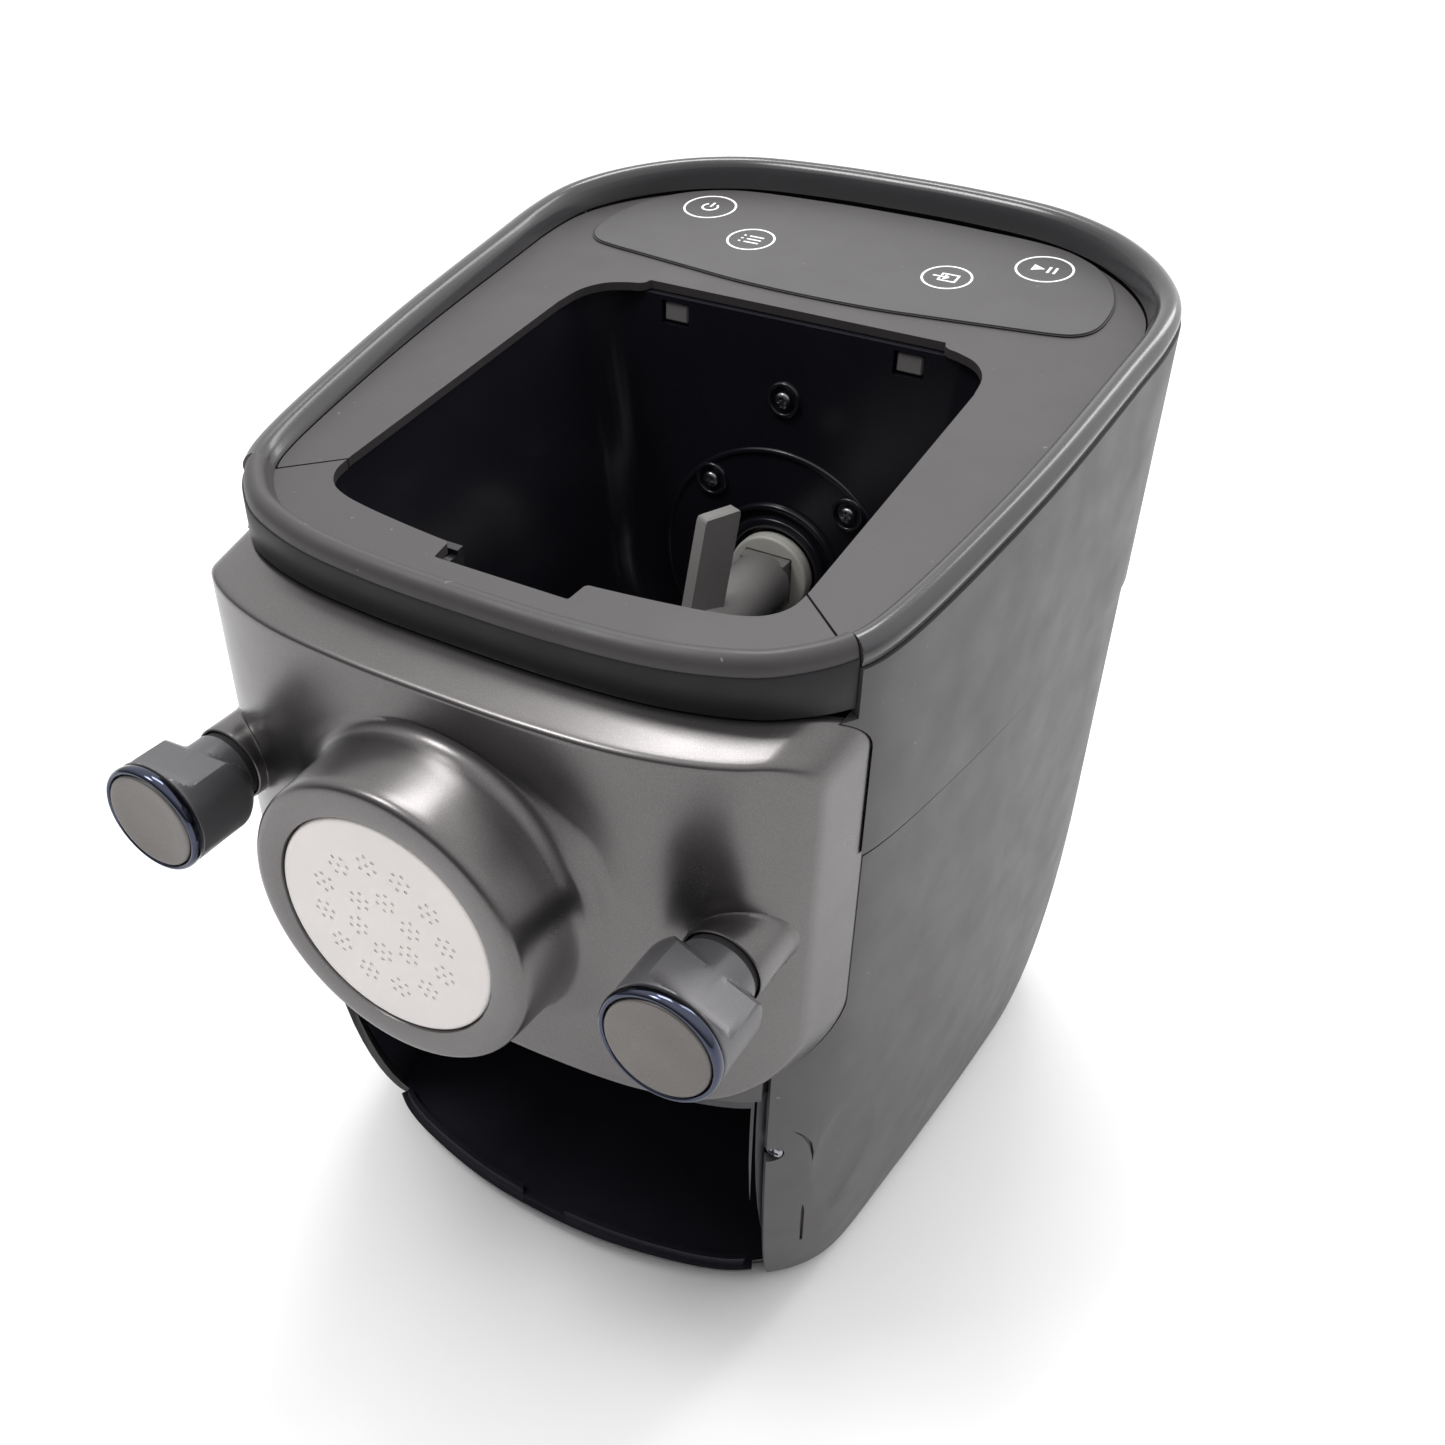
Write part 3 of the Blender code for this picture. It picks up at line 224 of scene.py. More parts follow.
ZINC = surface("motor_zinc", (0.48, 0.49, 0.5), 0.38, metal=1.0, grain=0.25, size=0.0015)
BOARD = surface("board_lacquer", (0.015, 0.11, 0.05), 0.4, grain=0.3, size=0.0012, coat=0.3)
INNER = surface("inner_moulding", (0.011, 0.011, 0.013), 0.5, grain=0.4, size=0.0006)
BAY = surface("bay_moulding", (0.015, 0.0152, 0.0215), 0.36, grain=0.3, size=0.0006)
FILM = surface("film_satin", (0.055, 0.052, 0.053), 0.44, grain=0.05, size=0.0008, mottle=0.05,
               dust=0.3)
GEAR = surface("gear_acetal", (0.72, 0.7, 0.65), 0.42, grain=0.15, size=0.0008)
PRINT = surface("print_white", (0.9, 0.9, 0.9), 0.45, grain=0.05, size=0.0006, mottle=0.03)
FLOOR = surface("floor_paper", (0.955, 0.955, 0.955), 0.75, grain=0.15, size=0.002, mottle=0.004)


# ---- mesh helpers
def raw(name, verts, faces):
    """Closed mesh object with outward normals, in the scene but not yet a finished piece."""
    mesh = bpy.data.meshes.new(name)
    mesh.from_pydata([tuple(v) for v in verts], [], faces)
    build = bmesh.new()
    build.from_mesh(mesh)
    bmesh.ops.remove_doubles(build, verts=build.verts, dist=1e-6)
    bmesh.ops.recalc_face_normals(build, faces=build.faces)
    build.to_mesh(mesh)
    build.free()
    obj = bpy.data.objects.new(name, mesh)
    bpy.context.scene.collection.objects.link(obj)
    return obj


def loft(name, rows, wrap=False):
    """Closed solid through equal loops; capped at both ends unless it wraps."""
    count = len(rows[0])
    verts = [v for row in rows for v in row]
    faces = []
    for i in range(len(rows) if wrap else len(rows) - 1):
        nxt = (i + 1) % len(rows)
        for j in range(count):
            k = (j + 1) % count
            faces.append((i * count + j, i * count + k, nxt * count + k, nxt * count + j))
    if not wrap:
        faces.append(tuple(range(count)))
        faces.append(tuple(range((len(rows) - 1) * count, len(rows) * count)))
    return raw(name, verts, faces)


def lathe(name, profile, centre, axis="Y", segments=96, closed=False):
    """Turns (radius, along) points about an axis. closed: the profile is a ring section."""
    cx, cy, cz = centre
    rows = []
    for step in range(segments):
        turn = 2 * math.pi * step / segments
        c, s = math.cos(turn), math.sin(turn)
        if axis == "Y":
            rows.append([(cx + r * c, cy + a, cz + r * s) for r, a in profile])
        else:
            rows.append([(cx + r * c, cy + r * s, cz + a) for r, a in profile])
    if closed:
        return loft(name, rows, wrap=True)
    count = len(profile)
    verts = [v for row in rows for v in row]
    faces = []
    for i in range(segments):
        nxt = (i + 1) % segments
        for j in range(count - 1):
            faces.append((i * count + j, i * count + j + 1, nxt * count + j + 1, nxt * count + j))
    for end in (0, count - 1):
        if profile[end][0] > 1e-9:
            faces.append(tuple(i * count + end for i in range(segments)))
    return raw(name, verts, faces)


def rod(name, centre, radius, along0, along1, axis="Y", segments=64):
    return lathe(name, [(radius, along0), (radius, along1)], centre, axis, segments)


def block(name, low, high):
    (x0, y0, z0), (x1, y1, z1) = low, high
    return loft(name, [[(x0, y0, z), (x1, y0, z), (x1, y1, z), (x0, y1, z)] for z in (z0, z1)])


def prism(name, outline, y0, y1):
    return loft(name, [[(x, y, z) for x, z in outline] for y in (y0, y1)])


def slab(name, loop, low, high):
    return loft(name, [[(x, y, low(y)) for x, y in loop], [(x, y, high(y)) for x, y in loop]])


def bake(obj):
    """Puts the result of an object's modifiers into its mesh."""
    bpy.context.view_layer.update()
    graph = bpy.context.evaluated_depsgraph_get()
    made = bpy.data.meshes.new_from_object(obj.evaluated_get(graph))
    obj.modifiers.clear()
    obj.data = made


def cut(obj, *tools, operation="DIFFERENCE"):
    for tool in tools:
        step = obj.modifiers.new("cut", "BOOLEAN")
        step.operation = operation
        step.object = tool
        step.solver = "EXACT"
        bake(obj)
        bpy.data.objects.remove(tool, do_unlink=True)
    return obj


def join_meshes(name, parts):
    """One object from several separate closed meshes."""
    verts, faces = [], []
    for part in parts:
        base = len(verts)
        verts += [v.co.copy() for v in part.data.vertices]
        faces += [tuple(base + i for i in f.vertices) for f in part.data.polygons]
        bpy.data.objects.remove(part, do_unlink=True)
    mesh = bpy.data.meshes.new(name)
    mesh.from_pydata(verts, [], faces)
    obj = bpy.data.objects.new(name, mesh)
    bpy.context.scene.collection.objects.link(obj)
    return obj


def piece(obj, mat, body="chassis", edge=0.0, angle=38.0, stands_for=()):
    """Finishes a visible piece: rounded edges, smooth shading, finish, and the body it rides on."""
    obj.data.materials.clear()
    obj.data.materials.append(mat)
    build = bmesh.new()
    build.from_mesh(obj.data)
    bmesh.ops.dissolve_degenerate(build, edges=build.edges, dist=2e-6)
    for face in build.faces:
        face.smooth = True
    for e in build.edges:
        if len(e.link_faces) == 2:
            e.smooth = e.calc_face_angle(0.0) < math.radians(angle)
    build.to_mesh(obj.data)
    build.free()
    if edge:
        step = obj.modifiers.new("edge", "BEVEL")
        step.width = edge
        step.segments = 2
        step.limit_method = "ANGLE"
        step.angle_limit = math.radians(50)
        step.miter_outer = "MITER_ARC"
        step.harden_normals = True
    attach(obj, body)
    if stands_for:
        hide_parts(*stands_for)
    return obj


def spread(start, end, count):
    return [start + (end - start) * i / (count - 1) for i in range(count)]


def through(points, per_span, closed=False):
    """Smooth curve through points of any dimension."""
    pts = [Vector(p) for p in points]
    n = len(pts)
    out = []
    for i in range(n if closed else n - 1):
        if closed:
            p0, p1, p2, p3 = (pts[(i + k) % n] for k in (-1, 0, 1, 2))
        else:
            p1, p2 = pts[i], pts[i + 1]
            p0 = pts[i - 1] if i else p1 + (p1 - p2)
            p3 = pts[i + 2] if i + 2 < n else p2 + (p2 - p1)
        for k in range(per_span):
            t = k / per_span
            out.append(0.5 * (2 * p1 + (p2 - p0) * t + (2 * p0 - 5 * p1 + 4 * p2 - p3) * t * t
                              + (3 * p1 - p0 - 3 * p2 + p3) * t ** 3))
    if not closed:
        out.append(pts[-1])
    return out


def rounded_rect(x0, x1, z0, z1, low_radius, high_radius, steps=12):
    points = []
    corners = [(x1 - low_radius, z0 + low_radius, low_radius, -90),
               (x1 - high_radius, z1 - high_radius, high_radius, 0),
               (x0 + high_radius, z1 - high_radius, high_radius, 90),
               (x0 + low_radius, z0 + low_radius, low_radius, 180)]
    for cx, cz, r, start in corners:
        for i in range(steps + 1):
            turn = math.radians(start + 90 * i / steps)
            points.append((cx + r * math.cos(turn), cz + r * math.sin(turn)))
    return points


def densify(loop, most):
    points = []
    for i, (x, z) in enumerate(loop):
        nx, nz = loop[(i + 1) % len(loop)]
        parts = max(1, math.ceil(math.hypot(nx - x, nz - z) / most))
        points += [(x + (nx - x) * k / parts, z + (nz - z) * k / parts) for k in range(parts)]
    return points


# ---- body surface
def half_curve(points):
    ext = [(-points[1][0], points[1][1])] + points + [(-points[-2][0], points[-2][1])]

    def at(u):
        u = min(max(u, 0.0), len(points) - 1.0)
        i = min(int(u), len(points) - 2)
        t = u - i
        p0, p1, p2, p3 = (Vector(ext[i + k]) for k in range(4))
        a, b, c = p2 - p0, 2 * p0 - 5 * p1 + 4 * p2 - p3, 3 * p1 - p0 - 3 * p2 + p3
        return (0.5 * (2 * p1 + a * t + b * t * t + c * t ** 3),
                0.5 * (a + 2 * b * t + 3 * c * t * t))
    return at


rim_curve, base_curve = half_curve(RIM_OUTLINE), half_curve(BASE_OUTLINE)


def plan(s, z, inset=0.0):
    """Body outline at station s: 0 front centre, LAST rear centre, negative on the left."""
    side = -1.0 if s < 0 else 1.0
    u = min(abs(s), LAST) / 2
    t = min(max(z / CURVE_TOP_Z, 0.0), 1.0)
    share = (1 - (1 - t) ** 2) ** 0.75
    (a, da), (b, db) = base_curve(u), rim_curve(u)
    along = da.lerp(db, share)
    normal = Vector((along.y, -along.x)).normalized()
    here = (a.lerp(b, share) - normal * (inset / MM)) * MM
    return side * here.x, here.y


def find(test, low, high):
    for _ in range(40):
        mid = (low + high) / 2
        if test(mid):
            low = mid
        else:
            high = mid
    return low


def station_at_y(y, z=0.2):
    return find(lambda s: plan(s, z)[1] < y, 5.0, LAST - 1.0)


def front_y(x):
    """Depth of the front outline at x."""
    x = min(abs(x), 0.0985)
    return plan(find(lambda s: plan(s, 0.2)[0] < x, 0.0, LAST * 0.5), 0.2)[1]


S_REAR = station_at_y(REAR_SEAM_Y)
LOW_LEVELS = [0.002, 0.0032, 0.005, 0.008, 0.012, 0.018, 0.025, 0.034, 0.044, 0.055, 0.067,
              0.08, 0.095, 0.11, 0.13, 0.15, 0.17, 0.19, 0.202]
BAND_ROWS = [(-0.0017, 0.0), (-0.0014, -0.0015), (-0.0004, -0.0015), (0.0, BAND_STEP)]


def wall(name, stations):
    """Closed strip of the enclosure wall with the fine groove under its step line."""
    rows = []
    for s in stations:
        y = plan(s, 0.25)[1]
        top = rim_z(y) - TRIM_HEIGHT - GAP
        levels = [(z, 0.0) for z in LOW_LEVELS] + [(BAND_Z + dz, out) for dz, out in BAND_ROWS]
        levels += [(BAND_Z + (top - BAND_Z) * k / 6, BAND_STEP) for k in (0.5, 1, 2, 3, 4, 5, 6)]
        outer = [(*plan(s, z, -out), z) for z, out in levels]
        inner = [(*plan(s, z, SKIN), z) for z, _ in levels]
        rows.append(outer + inner[::-1])
    return loft(name, rows)


def station_at_x(x, z):
    return find(lambda s: plan(s, z)[0] < x, 0.0, LAST * 0.5)


def scoop(side):
    """Shallow finger dish in the wall beside the drawer bay."""
    rows = []
    for k in range(1, 28):
        z = 0.078 + 0.026 * math.cos(math.pi * k / 28)
        reach = math.sin(math.pi * k / 28)
        s0, s1 = station_at_x(0.0972, z), station_at_y(-0.056, z)
        mid, half = (s0 + s1) / 2, (s1 - s0) / 2 * reach
        row = []
        for j in range(25):
            share = -1 + j / 12
            deep = 0.0013 * reach * (1 - share * share) - 0.0001
            x, y = plan(mid + half * share, z, deep)
            row.append((side * x, y, z))
        for j in range(25):
            x, y = plan(mid + half * (1 - j / 12), z, -0.003)
            row.append((side * x, y, z))
        rows.append(row)
    return loft("tool", rows)


def slit(side, marks):
    """Narrow groove in the outer face through (x, z, half width) marks."""
    rows = []
    for x, z, half in marks:
        s = station_at_x(x, z)
        out, deep = Vector(plan(s, z, -0.002)), Vector(plan(s, z, 0.0014))
        way = (out - deep).normalized()
        across = Vector((way.y, -way.x)) * half
        corners = (out - across, out + across, deep + across * 0.6, deep - across * 0.6)
        rows.append([(side * p.x, p.y, z) for p in corners])
    return loft("tool", rows)


# marks beside the bay, each (x, z, half width)
CRESCENT = [(0.0936, 0.1045, 0.0001), (0.0958, 0.101, 0.0006), (0.0973, 0.0955, 0.0008),
            (0.0978, 0.09, 0.0006), (0.0978, 0.0862, 0.0001)]
GROOVE = [(0.0956, 0.061, 0.0002), (0.0955, 0.057, 0.0008), (0.0948, 0.046, 0.0009),
          (0.094, 0.035, 0.0007)]
PANEL_CUT = rounded_rect(-0.1014, 0.1014, PANEL_LOW_Z - GAP, PANEL_TOP_Z + GAP, 0.028, 0.013)
for side, label in ((-1, "left"), (1, "right")):
    stations = [side * s for s in spread(S_COLUMN, S_SEAM, 9)
                + spread(S_SEAM + 0.25, S_REAR, 56)]
    shell = wall(f"side_wall_{label}", stations)
    cut(shell, prism("tool", PANEL_CUT, -0.2, PANEL_BACK_Y))
    near = plan(side * (S_SEAM + 0.05), SEAM_Z, 0.012)
    far = plan(side * (S_SEAM + 0.05), SEAM_Z, -0.006)
    seam = [near, far, (far[0], -0.2), (side * 0.04, -0.2), (side * 0.04, near[1])]
    cut(shell, slab("tool", seam, lambda y: PANEL_TOP_Z - 0.002, lambda y: 0.33))
    cut(shell, rod("tool", (side * SCREW_X, 0.0, SCREW_Z), 0.0031, -0.2, -0.065, segments=32))
    cut(shell, scoop(side), slit(side, CRESCENT), slit(side, GROOVE))
    piece(shell, SHELL, edge=0.0005, stands_for=[f"side_shell_{label}"])

# ---- rear wall with air slots and inlet
half = spread(S_REAR + 0.1, LAST, 44)
rear = wall("rear_wall", half + [-s for s in half[-2::-1]])
slots = []
for row in range(7):
    for x in (-0.026, 0.026):
        z = 0.0845 + 0.011 * row
        outline = rounded_rect(x - 0.021, x + 0.021, z - 0.0025, z + 0.0025, 0.0024, 0.0024, 6)
        slots.append(prism("slot", outline, 0.13, 0.18))
cut(rear, join_meshes("tool", slots))
cut(rear, prism("tool", rounded_rect(-0.0135, 0.0135, 0.0295, 0.0505, 0.003, 0.003, 5),
                0.12, 0.18))
piece(rear, SHELL, edge=0.0005, stands_for=["rear_cover"])
inlet = prism("inlet_socket", rounded_rect(-0.013, 0.013, 0.03, 0.05, 0.0026, 0.0026, 5),
              0.125, 0.1525)
cut(inlet, prism("tool", rounded_rect(-0.01, 0.01, 0.033, 0.047, 0.004, 0.002, 6),
                 0.135, 0.18))
piece(inlet, INNER, edge=0.0004, stands_for=["power_inlet"])
profile = [(0.0, 0.1352), (0.0012, 0.1352), (0.0012, 0.1465), (0.0007, 0.1475), (0.0, 0.1475)]
for x, label in ((-0.0048, "left"), (0.0048, "right")):
    pin = lathe(f"inlet_pin_{label}", profile, (x, 0.0, 0.04), segments=20)
    piece(pin, STEEL)

# ---- top: opening, front cap, deck, glossy trim, film
curved = [(0.0227, -0.092), (0.03, -0.0913), (0.04, -0.0902), (0.053, -0.0884),
          (0.063, -0.0862), (0.0695, -0.0829), (0.0735, -0.0773), (0.0745, -0.07),
          (0.0746, -0.06), (0.0746, 0.03), (0.0744, 0.04), (0.0728, 0.05),
          (0.068, 0.0572), (0.0615, 0.0608), (0.0572, 0.0621)]
half = [(0.0208, -0.0993), (0.0213, -0.0988), (0.0219, -0.0928)]
half += [tuple(p) for p in through(curved, 5)]
half += [(0.0556, 0.063), (0.0549, 0.0641), (0.0546, 0.0653), (0.054, 0.0658)]
OPENING = half + [(-x, y) for x, y in half[::-1]]
# outer part of the rim trim section: (inset, height above the rim line)
LIP = [(0.0, -0.0062), (-0.0003, -0.0044), (0.0001, -0.0028), (0.0011, -0.0014),
       (0.0024, -0.0004), (0.004, 0.0), (0.0055, -0.0004), (0.0067, -0.0014),
       (0.0077, -0.003)]
LIP = [tuple(p) for p in through(LIP, 4)]


def opening_tool():
    return slab("tool", OPENING, lambda y: 0.262, lambda y: 0.34)


cap_half = spread(0.0, S_SEAM, 49)


def cap_loop(inset):
    points = [plan(s, SEAM_Z, inset) for s in cap_half]
    return [(-x, y) for x, y in points[:0:-1]] + points


seam_inner = plan(S_SEAM, SEAM_Z, CAP_INSET)
tail = (0.07, -0.0676)
closing = [seam_inner, tail, (-tail[0], tail[1]), (-seam_inner[0], seam_inner[1])]
# cap section: (inset, height above the rim line; None at the foot and on the recessed top)
levels = [(0.0008, None), (0.0008, -0.006)]
levels += [tuple(p) for p in through([(0.0008, -0.005), (0.001, -0.0036), (0.0016, -0.002),
                                      (0.0027, -0.0007), (0.0042, 0.0), (0.0058, -0.0004),
                                      (0.007, -0.0014), (0.0079, -0.003)], 4)]
levels += [(0.0085, -0.004), (CAP_INSET, None)]
rows = []
for index, (inset, height) in enumerate(levels):
    low = index == 0
    row = []
    for x, y in cap_loop(inset):
        drop = rim_z(y) - top_z(y)
        if low:
            z = PANEL_TOP_Z + GAP
        elif height is None:
            z = top_z(y)
        elif height < -0.0015 and inset > 0.005:
            z = rim_z(y) + max(height, -drop * 0.95)
        else:
            z = rim_z(y) + height
        row.append((x, y, z))
    row += [(x, y, PANEL_TOP_Z + GAP if low else top_z(y)) for x, y in closing]
    rows.append(row)
cap = loft("cap_front", rows)
cut(cap, slab("tool", cap_loop(SKIN + 0.001) + [(0.097, -0.06), (-0.097, -0.06)],
              lambda y: 0.24, lambda y: top_z(y) - 0.003))
cut(cap, opening_tool())
piece(cap, DECK, edge=0.0004, stands_for=["front_cap"])

# near-black band over the cap's front wall under its lip: painted shade of the lip's shadow, darker
# than the cap's own finish
rows = []
for s in [-q for q in spread(0.06, S_SEAM - 0.02, 60)][::-1] + spread(0.0, S_SEAM - 0.02, 61):
    y = plan(s, SEAM_Z)[1]
    low, high = PANEL_TOP_Z + 0.0006, rim_z(y) - 0.0046
    rows.append([(*plan(s, SEAM_Z, inset), z) for inset, z in
                 ((0.0005, low), (0.0003, low + 0.0003), (0.0003, high - 0.0004), (0.0005, high),
                  (0.0012, high), (0.0012, low))])
piece(loft("cap_lip_shade", rows), LIP_SHADE)

half = [plan(s, SEAM_Z, 0.0096) for s in spread(S_SEAM + 0.12, LAST, 70)]
loop = [(0.07, -0.0668)] + half + [(-x, y) for x, y in half[-2::-1]] + [(-0.07, -0.0668)]
deck = slab("deck_top", loop, lambda y: top_z(y) - 0.0028, top_z)
cut(deck, opening_tool())
piece(deck, DECK, edge=0.0004, stands_for=["top_cover"])

half = spread(S_SEAM + 0.06, LAST, 110)
rows = []
for s in half + [-s for s in half[-2::-1]]:
    y = plan(s, SEAM_Z)[1]
    drop = rim_z(y) - top_z(y)
    section = [(0.0, -TRIM_HEIGHT)] + LIP
    section += [(0.0084, -0.003 - 0.4 * (drop - 0.003)),
                (0.009, -0.003 - 0.8 * (drop - 0.003)), (CAP_INSET, -drop)]
    section += [(0.0066, -drop), (0.005, -0.0042), (0.004, -0.003), (0.0028, -0.005),
                (0.0026, -TRIM_HEIGHT)]
    rows.append([(*plan(s, SEAM_Z, inset), rim_z(y) + height) for inset, height in section])
piece(loft("trim_rim", rows), GLOSS, edge=0.0003, stands_for=["rim_trim"])

FILM_HALF = [(0.0, 0.076), (0.025, 0.0768), (0.045, 0.079), (0.068, 0.0818),
             (0.083, 0.0838), (0.0895, 0.086), (0.0935, 0.091), (0.0947, 0.099),
             (0.0933, 0.112), (0.087, 0.126), (0.076, 0.137), (0.06, 0.144),
             (0.03, 0.1468), (0.0, 0.1475)]


def film_loop(grow):
    pts = FILM_HALF + [(-x, y) for x, y in FILM_HALF[-2:0:-1]]
    line = through(pts, 6, closed=True)
    out = []
    for i, p in enumerate(line):
        along = (line[(i + 1) % len(line)] - line[i - 1]).normalized()
        out.append((p.x + along.y * grow, p.y - along.x * grow))
    return out


piece(slab("film_border", film_loop(0.0006), lambda y: top_z(y) + 0.00005,
           lambda y: top_z(y) + 0.00045), INNER, edge=0.0)
piece(slab("film_control", film_loop(0.0), lambda y: top_z(y) + 0.0003,
           lambda y: top_z(y) + 0.0009), FILM, edge=0.00025, stands_for=["control_film"])

# touch icons: thin raised print on the film
def on_film(cx, cy, points, name):
    """Closed outline given in millimetres about a key centre, as a thin print on the film."""
    loop = [(cx + x * MM, cy + y * MM) for x, y in points]
    return slab(name, loop, lambda y: top_z(y) + 0.0008, lambda y: top_z(y) + 0.00102)


def arc_strip(radius, width, start, end, steps):
    """Outline of a circular line, in millimetres."""
    turns = [math.radians(start + (end - start) * i / steps) for i in range(steps + 1)]
    out = [((radius + width / 2) * math.cos(t), (radius + width / 2) * math.sin(t)) for t in turns]
    return out + [((radius - width / 2) * math.cos(t), (radius - width / 2) * math.sin(t))
                  for t in turns[::-1]]


def bar(x0, y0, x1, y1, width):
    d = Vector((x1 - x0, y1 - y0)).normalized() * (width / 2)
    return [(x0 - d.y, y0 + d.x), (x0 + d.y, y0 - d.x), (x1 + d.y, y1 - d.x), (x1 - d.y, y1 + d.x)]


LINE = 0.8      # stroke of the key symbols, millimetres
# key symbols: centre on the film in metres, ring radius and outlines in millimetres
ICONS = {
    "power": (-0.0648, 0.1255, 10.0,
              [arc_strip(2.9, LINE, 128, 412, 30), bar(0, 0.2, 0, 3.9, LINE)]),
    "play": (0.0648, 0.1255, 10.0,
             [[(-4.2, -2.3), (0.2, 0), (-4.2, 2.3)], bar(1.6, -2.3, 1.6, 2.3, 0.9),
              bar(3.8, -2.3, 3.8, 2.3, 0.9)]),
    "list": (-0.0374, 0.1065, 8.8,
             [bar(-1.6, 2.4, 4.0, 2.4, LINE), bar(-1.6, 0, 4.0, 0, LINE),
              bar(-1.6, -2.4, 4.0, -2.4, LINE), bar(-3.9, 2.4, -3.0, 2.4, 0.8),
              bar(-3.9, 0, -3.0, 0, 0.8), bar(-3.9, -2.4, -3.0, -2.4, 0.8)]),
    "press": (0.0374, 0.1065, 8.8,
              [bar(-2.2, -2.6, 3.6, -2.6, LINE), bar(3.6, -2.9, 3.6, 2.4, LINE),
               bar(3.9, 2.4, -2.2, 2.4, LINE), bar(-2.2, 2.7, -2.2, 1.0, LINE),
               bar(-2.2, -2.9, -2.2, -1.0, LINE), bar(-5.0, 0, 0.6, 0, LINE),
               bar(0.6, 0, -1.0, 1.4, LINE), bar(0.6, 0, -1.0, -1.4, LINE)]),
}
for label, (cx, cy, radius, marks) in ICONS.items():
    ring_out = [(radius * math.cos(math.radians(5 * k)), radius * math.sin(math.radians(5 * k)))
                for k in range(72)]
    outer = on_film(cx, cy, ring_out, "ring")
    inner = slab("tool", [(cx + x * MM * (radius - LINE) / radius,
                           cy + y * MM * (radius - LINE) / radius) for x, y in ring_out],
                 lambda y: top_z(y) - 0.001, lambda y: top_z(y) + 0.004)
    cut(outer, inner)
    parts = [outer] + [on_film(cx, cy, m, "mark") for m in marks]
    piece(join_meshes(f"icon_{label}", parts), PRINT)

# ---- front panel
def panel_face_y(x, relief):
    """Depth of the panel at x, relief ahead of the body's front outline."""
    fuller = 1.0 + 0.095 * min(max((abs(x) - 0.08) / 0.0175, 0.0), 1.0)
    return front_y(x) + max(0.0, abs(x) - 0.0985) * 2.2 - relief * fuller


# across the bevel: (share of the bevel, relief in metres), rounded where it meets the face
BEVEL = [(0.0, -0.0022), (0.0, 0.0), (0.02, 0.0007), (0.07, 0.0015)]
BEVEL += [(0.07 + 0.61 * k / 8, 0.0015 + 0.0122 * k / 8) for k in range(1, 9)]
BEVEL += [(0.74, 0.01445), (0.82, 0.015), (0.92, 0.01535), (1.02, 0.0155)]
template = densify(rounded_rect(-0.101, 0.101, PANEL_LOW_Z, PANEL_TOP_Z, 0.027, 0.0125, 16),
                   0.003)


def bevel_point(x, z, t, wall_in=0.0):
    """An outline point moved in to share t of the bevel."""
    edge_x = 0.101
    sx = (edge_x - 0.0035 * t - wall_in) / edge_x
    low = PANEL_LOW_Z + 0.01 * t + wall_in
    high = PANEL_TOP_Z - 0.0045 * t - wall_in
    share = (z - PANEL_LOW_Z) / (PANEL_TOP_Z - PANEL_LOW_Z)
    return x * sx, low + (high - low) * share


def skirt(r):
    """Gentle rise of the face towards the boss."""
    t = min(max((0.06 - r) / 0.0155, 0.0), 1.0)
    return 0.0012 * t * t * (1.6 - 0.6 * t)


# boss: (radius, depth behind its face)
BOSS = [(0.0345, 0.0062), (0.0345, 0.0007), (0.0347, 0.0002), (0.0352, 0.0), (0.0412, 0.0),
        (0.0424, 0.00012), (0.0434, 0.0006), (0.04405, 0.0014), (0.0444, 0.0026),
        (0.0446, 0.005), (0.0449, 0.01), (0.0452, 0.016), (0.0455, 0.0205),
        (0.0459, 0.0228), (0.0466, 0.0244), (0.0476, 0.0254)]
rows = []
angles = [math.atan2(z - SHAFT_Z, x) for x, z in template]
for r, depth in BOSS:
    rows.append([(r * math.cos(a), BOSS_FACE_Y + depth, SHAFT_Z + r * math.sin(a)) for a in angles])
edge_t, edge_relief = BEVEL[-1]
face_edge = [bevel_point(x, z, edge_t) for x, z in template]
for k in range(1, 22):
    share = (k / 22) ** 1.15
    row = []
    for (x, z), a in zip(face_edge, angles):
        start = Vector((0.0482 * math.cos(a), SHAFT_Z + 0.0482 * math.sin(a)))
        here = start.lerp(Vector((x, z)), share)
        r = math.hypot(here.x, here.y - SHAFT_Z)
        blend_in = min(1.0, k / 3.0)
        y = panel_face_y(here.x, edge_relief) - skirt(r)
        joint_y = BOSS_FACE_Y + 0.026
        y = joint_y + (y - joint_y) * blend_in
        row.append((here.x, y, here.y))
    rows.append(row)
for t, relief in BEVEL[::-1]:
    row = []
    for x, z in template:
        px, pz = bevel_point(x, z, max(t, 0.0))
        row.append((px, panel_face_y(px, relief), pz))
    rows.append(row)
for t, relief in BEVEL[1::3] + [BEVEL[-1]]:
    row = []
    for x, z in template:
        px, pz = bevel_point(x, z, t, PANEL_WALL)
        row.append((px, panel_face_y(px, relief - (0.0022 if t == 0 else PANEL_WALL)), pz))
    rows.append(row)
for r, depth in ((0.06, None), (0.043, 0.034), (0.0378, 0.033), (0.0378, 0.0062)):
    row = []
    for a in angles:
        x, z = r * math.cos(a), SHAFT_Z + r * math.sin(a)
        y = panel_face_y(x, edge_relief - PANEL_WALL) if depth is None else BOSS_FACE_Y + depth
        row.append((x, y, z))
    rows.append(row)
panel = loft("panel_front", rows, wrap=True)
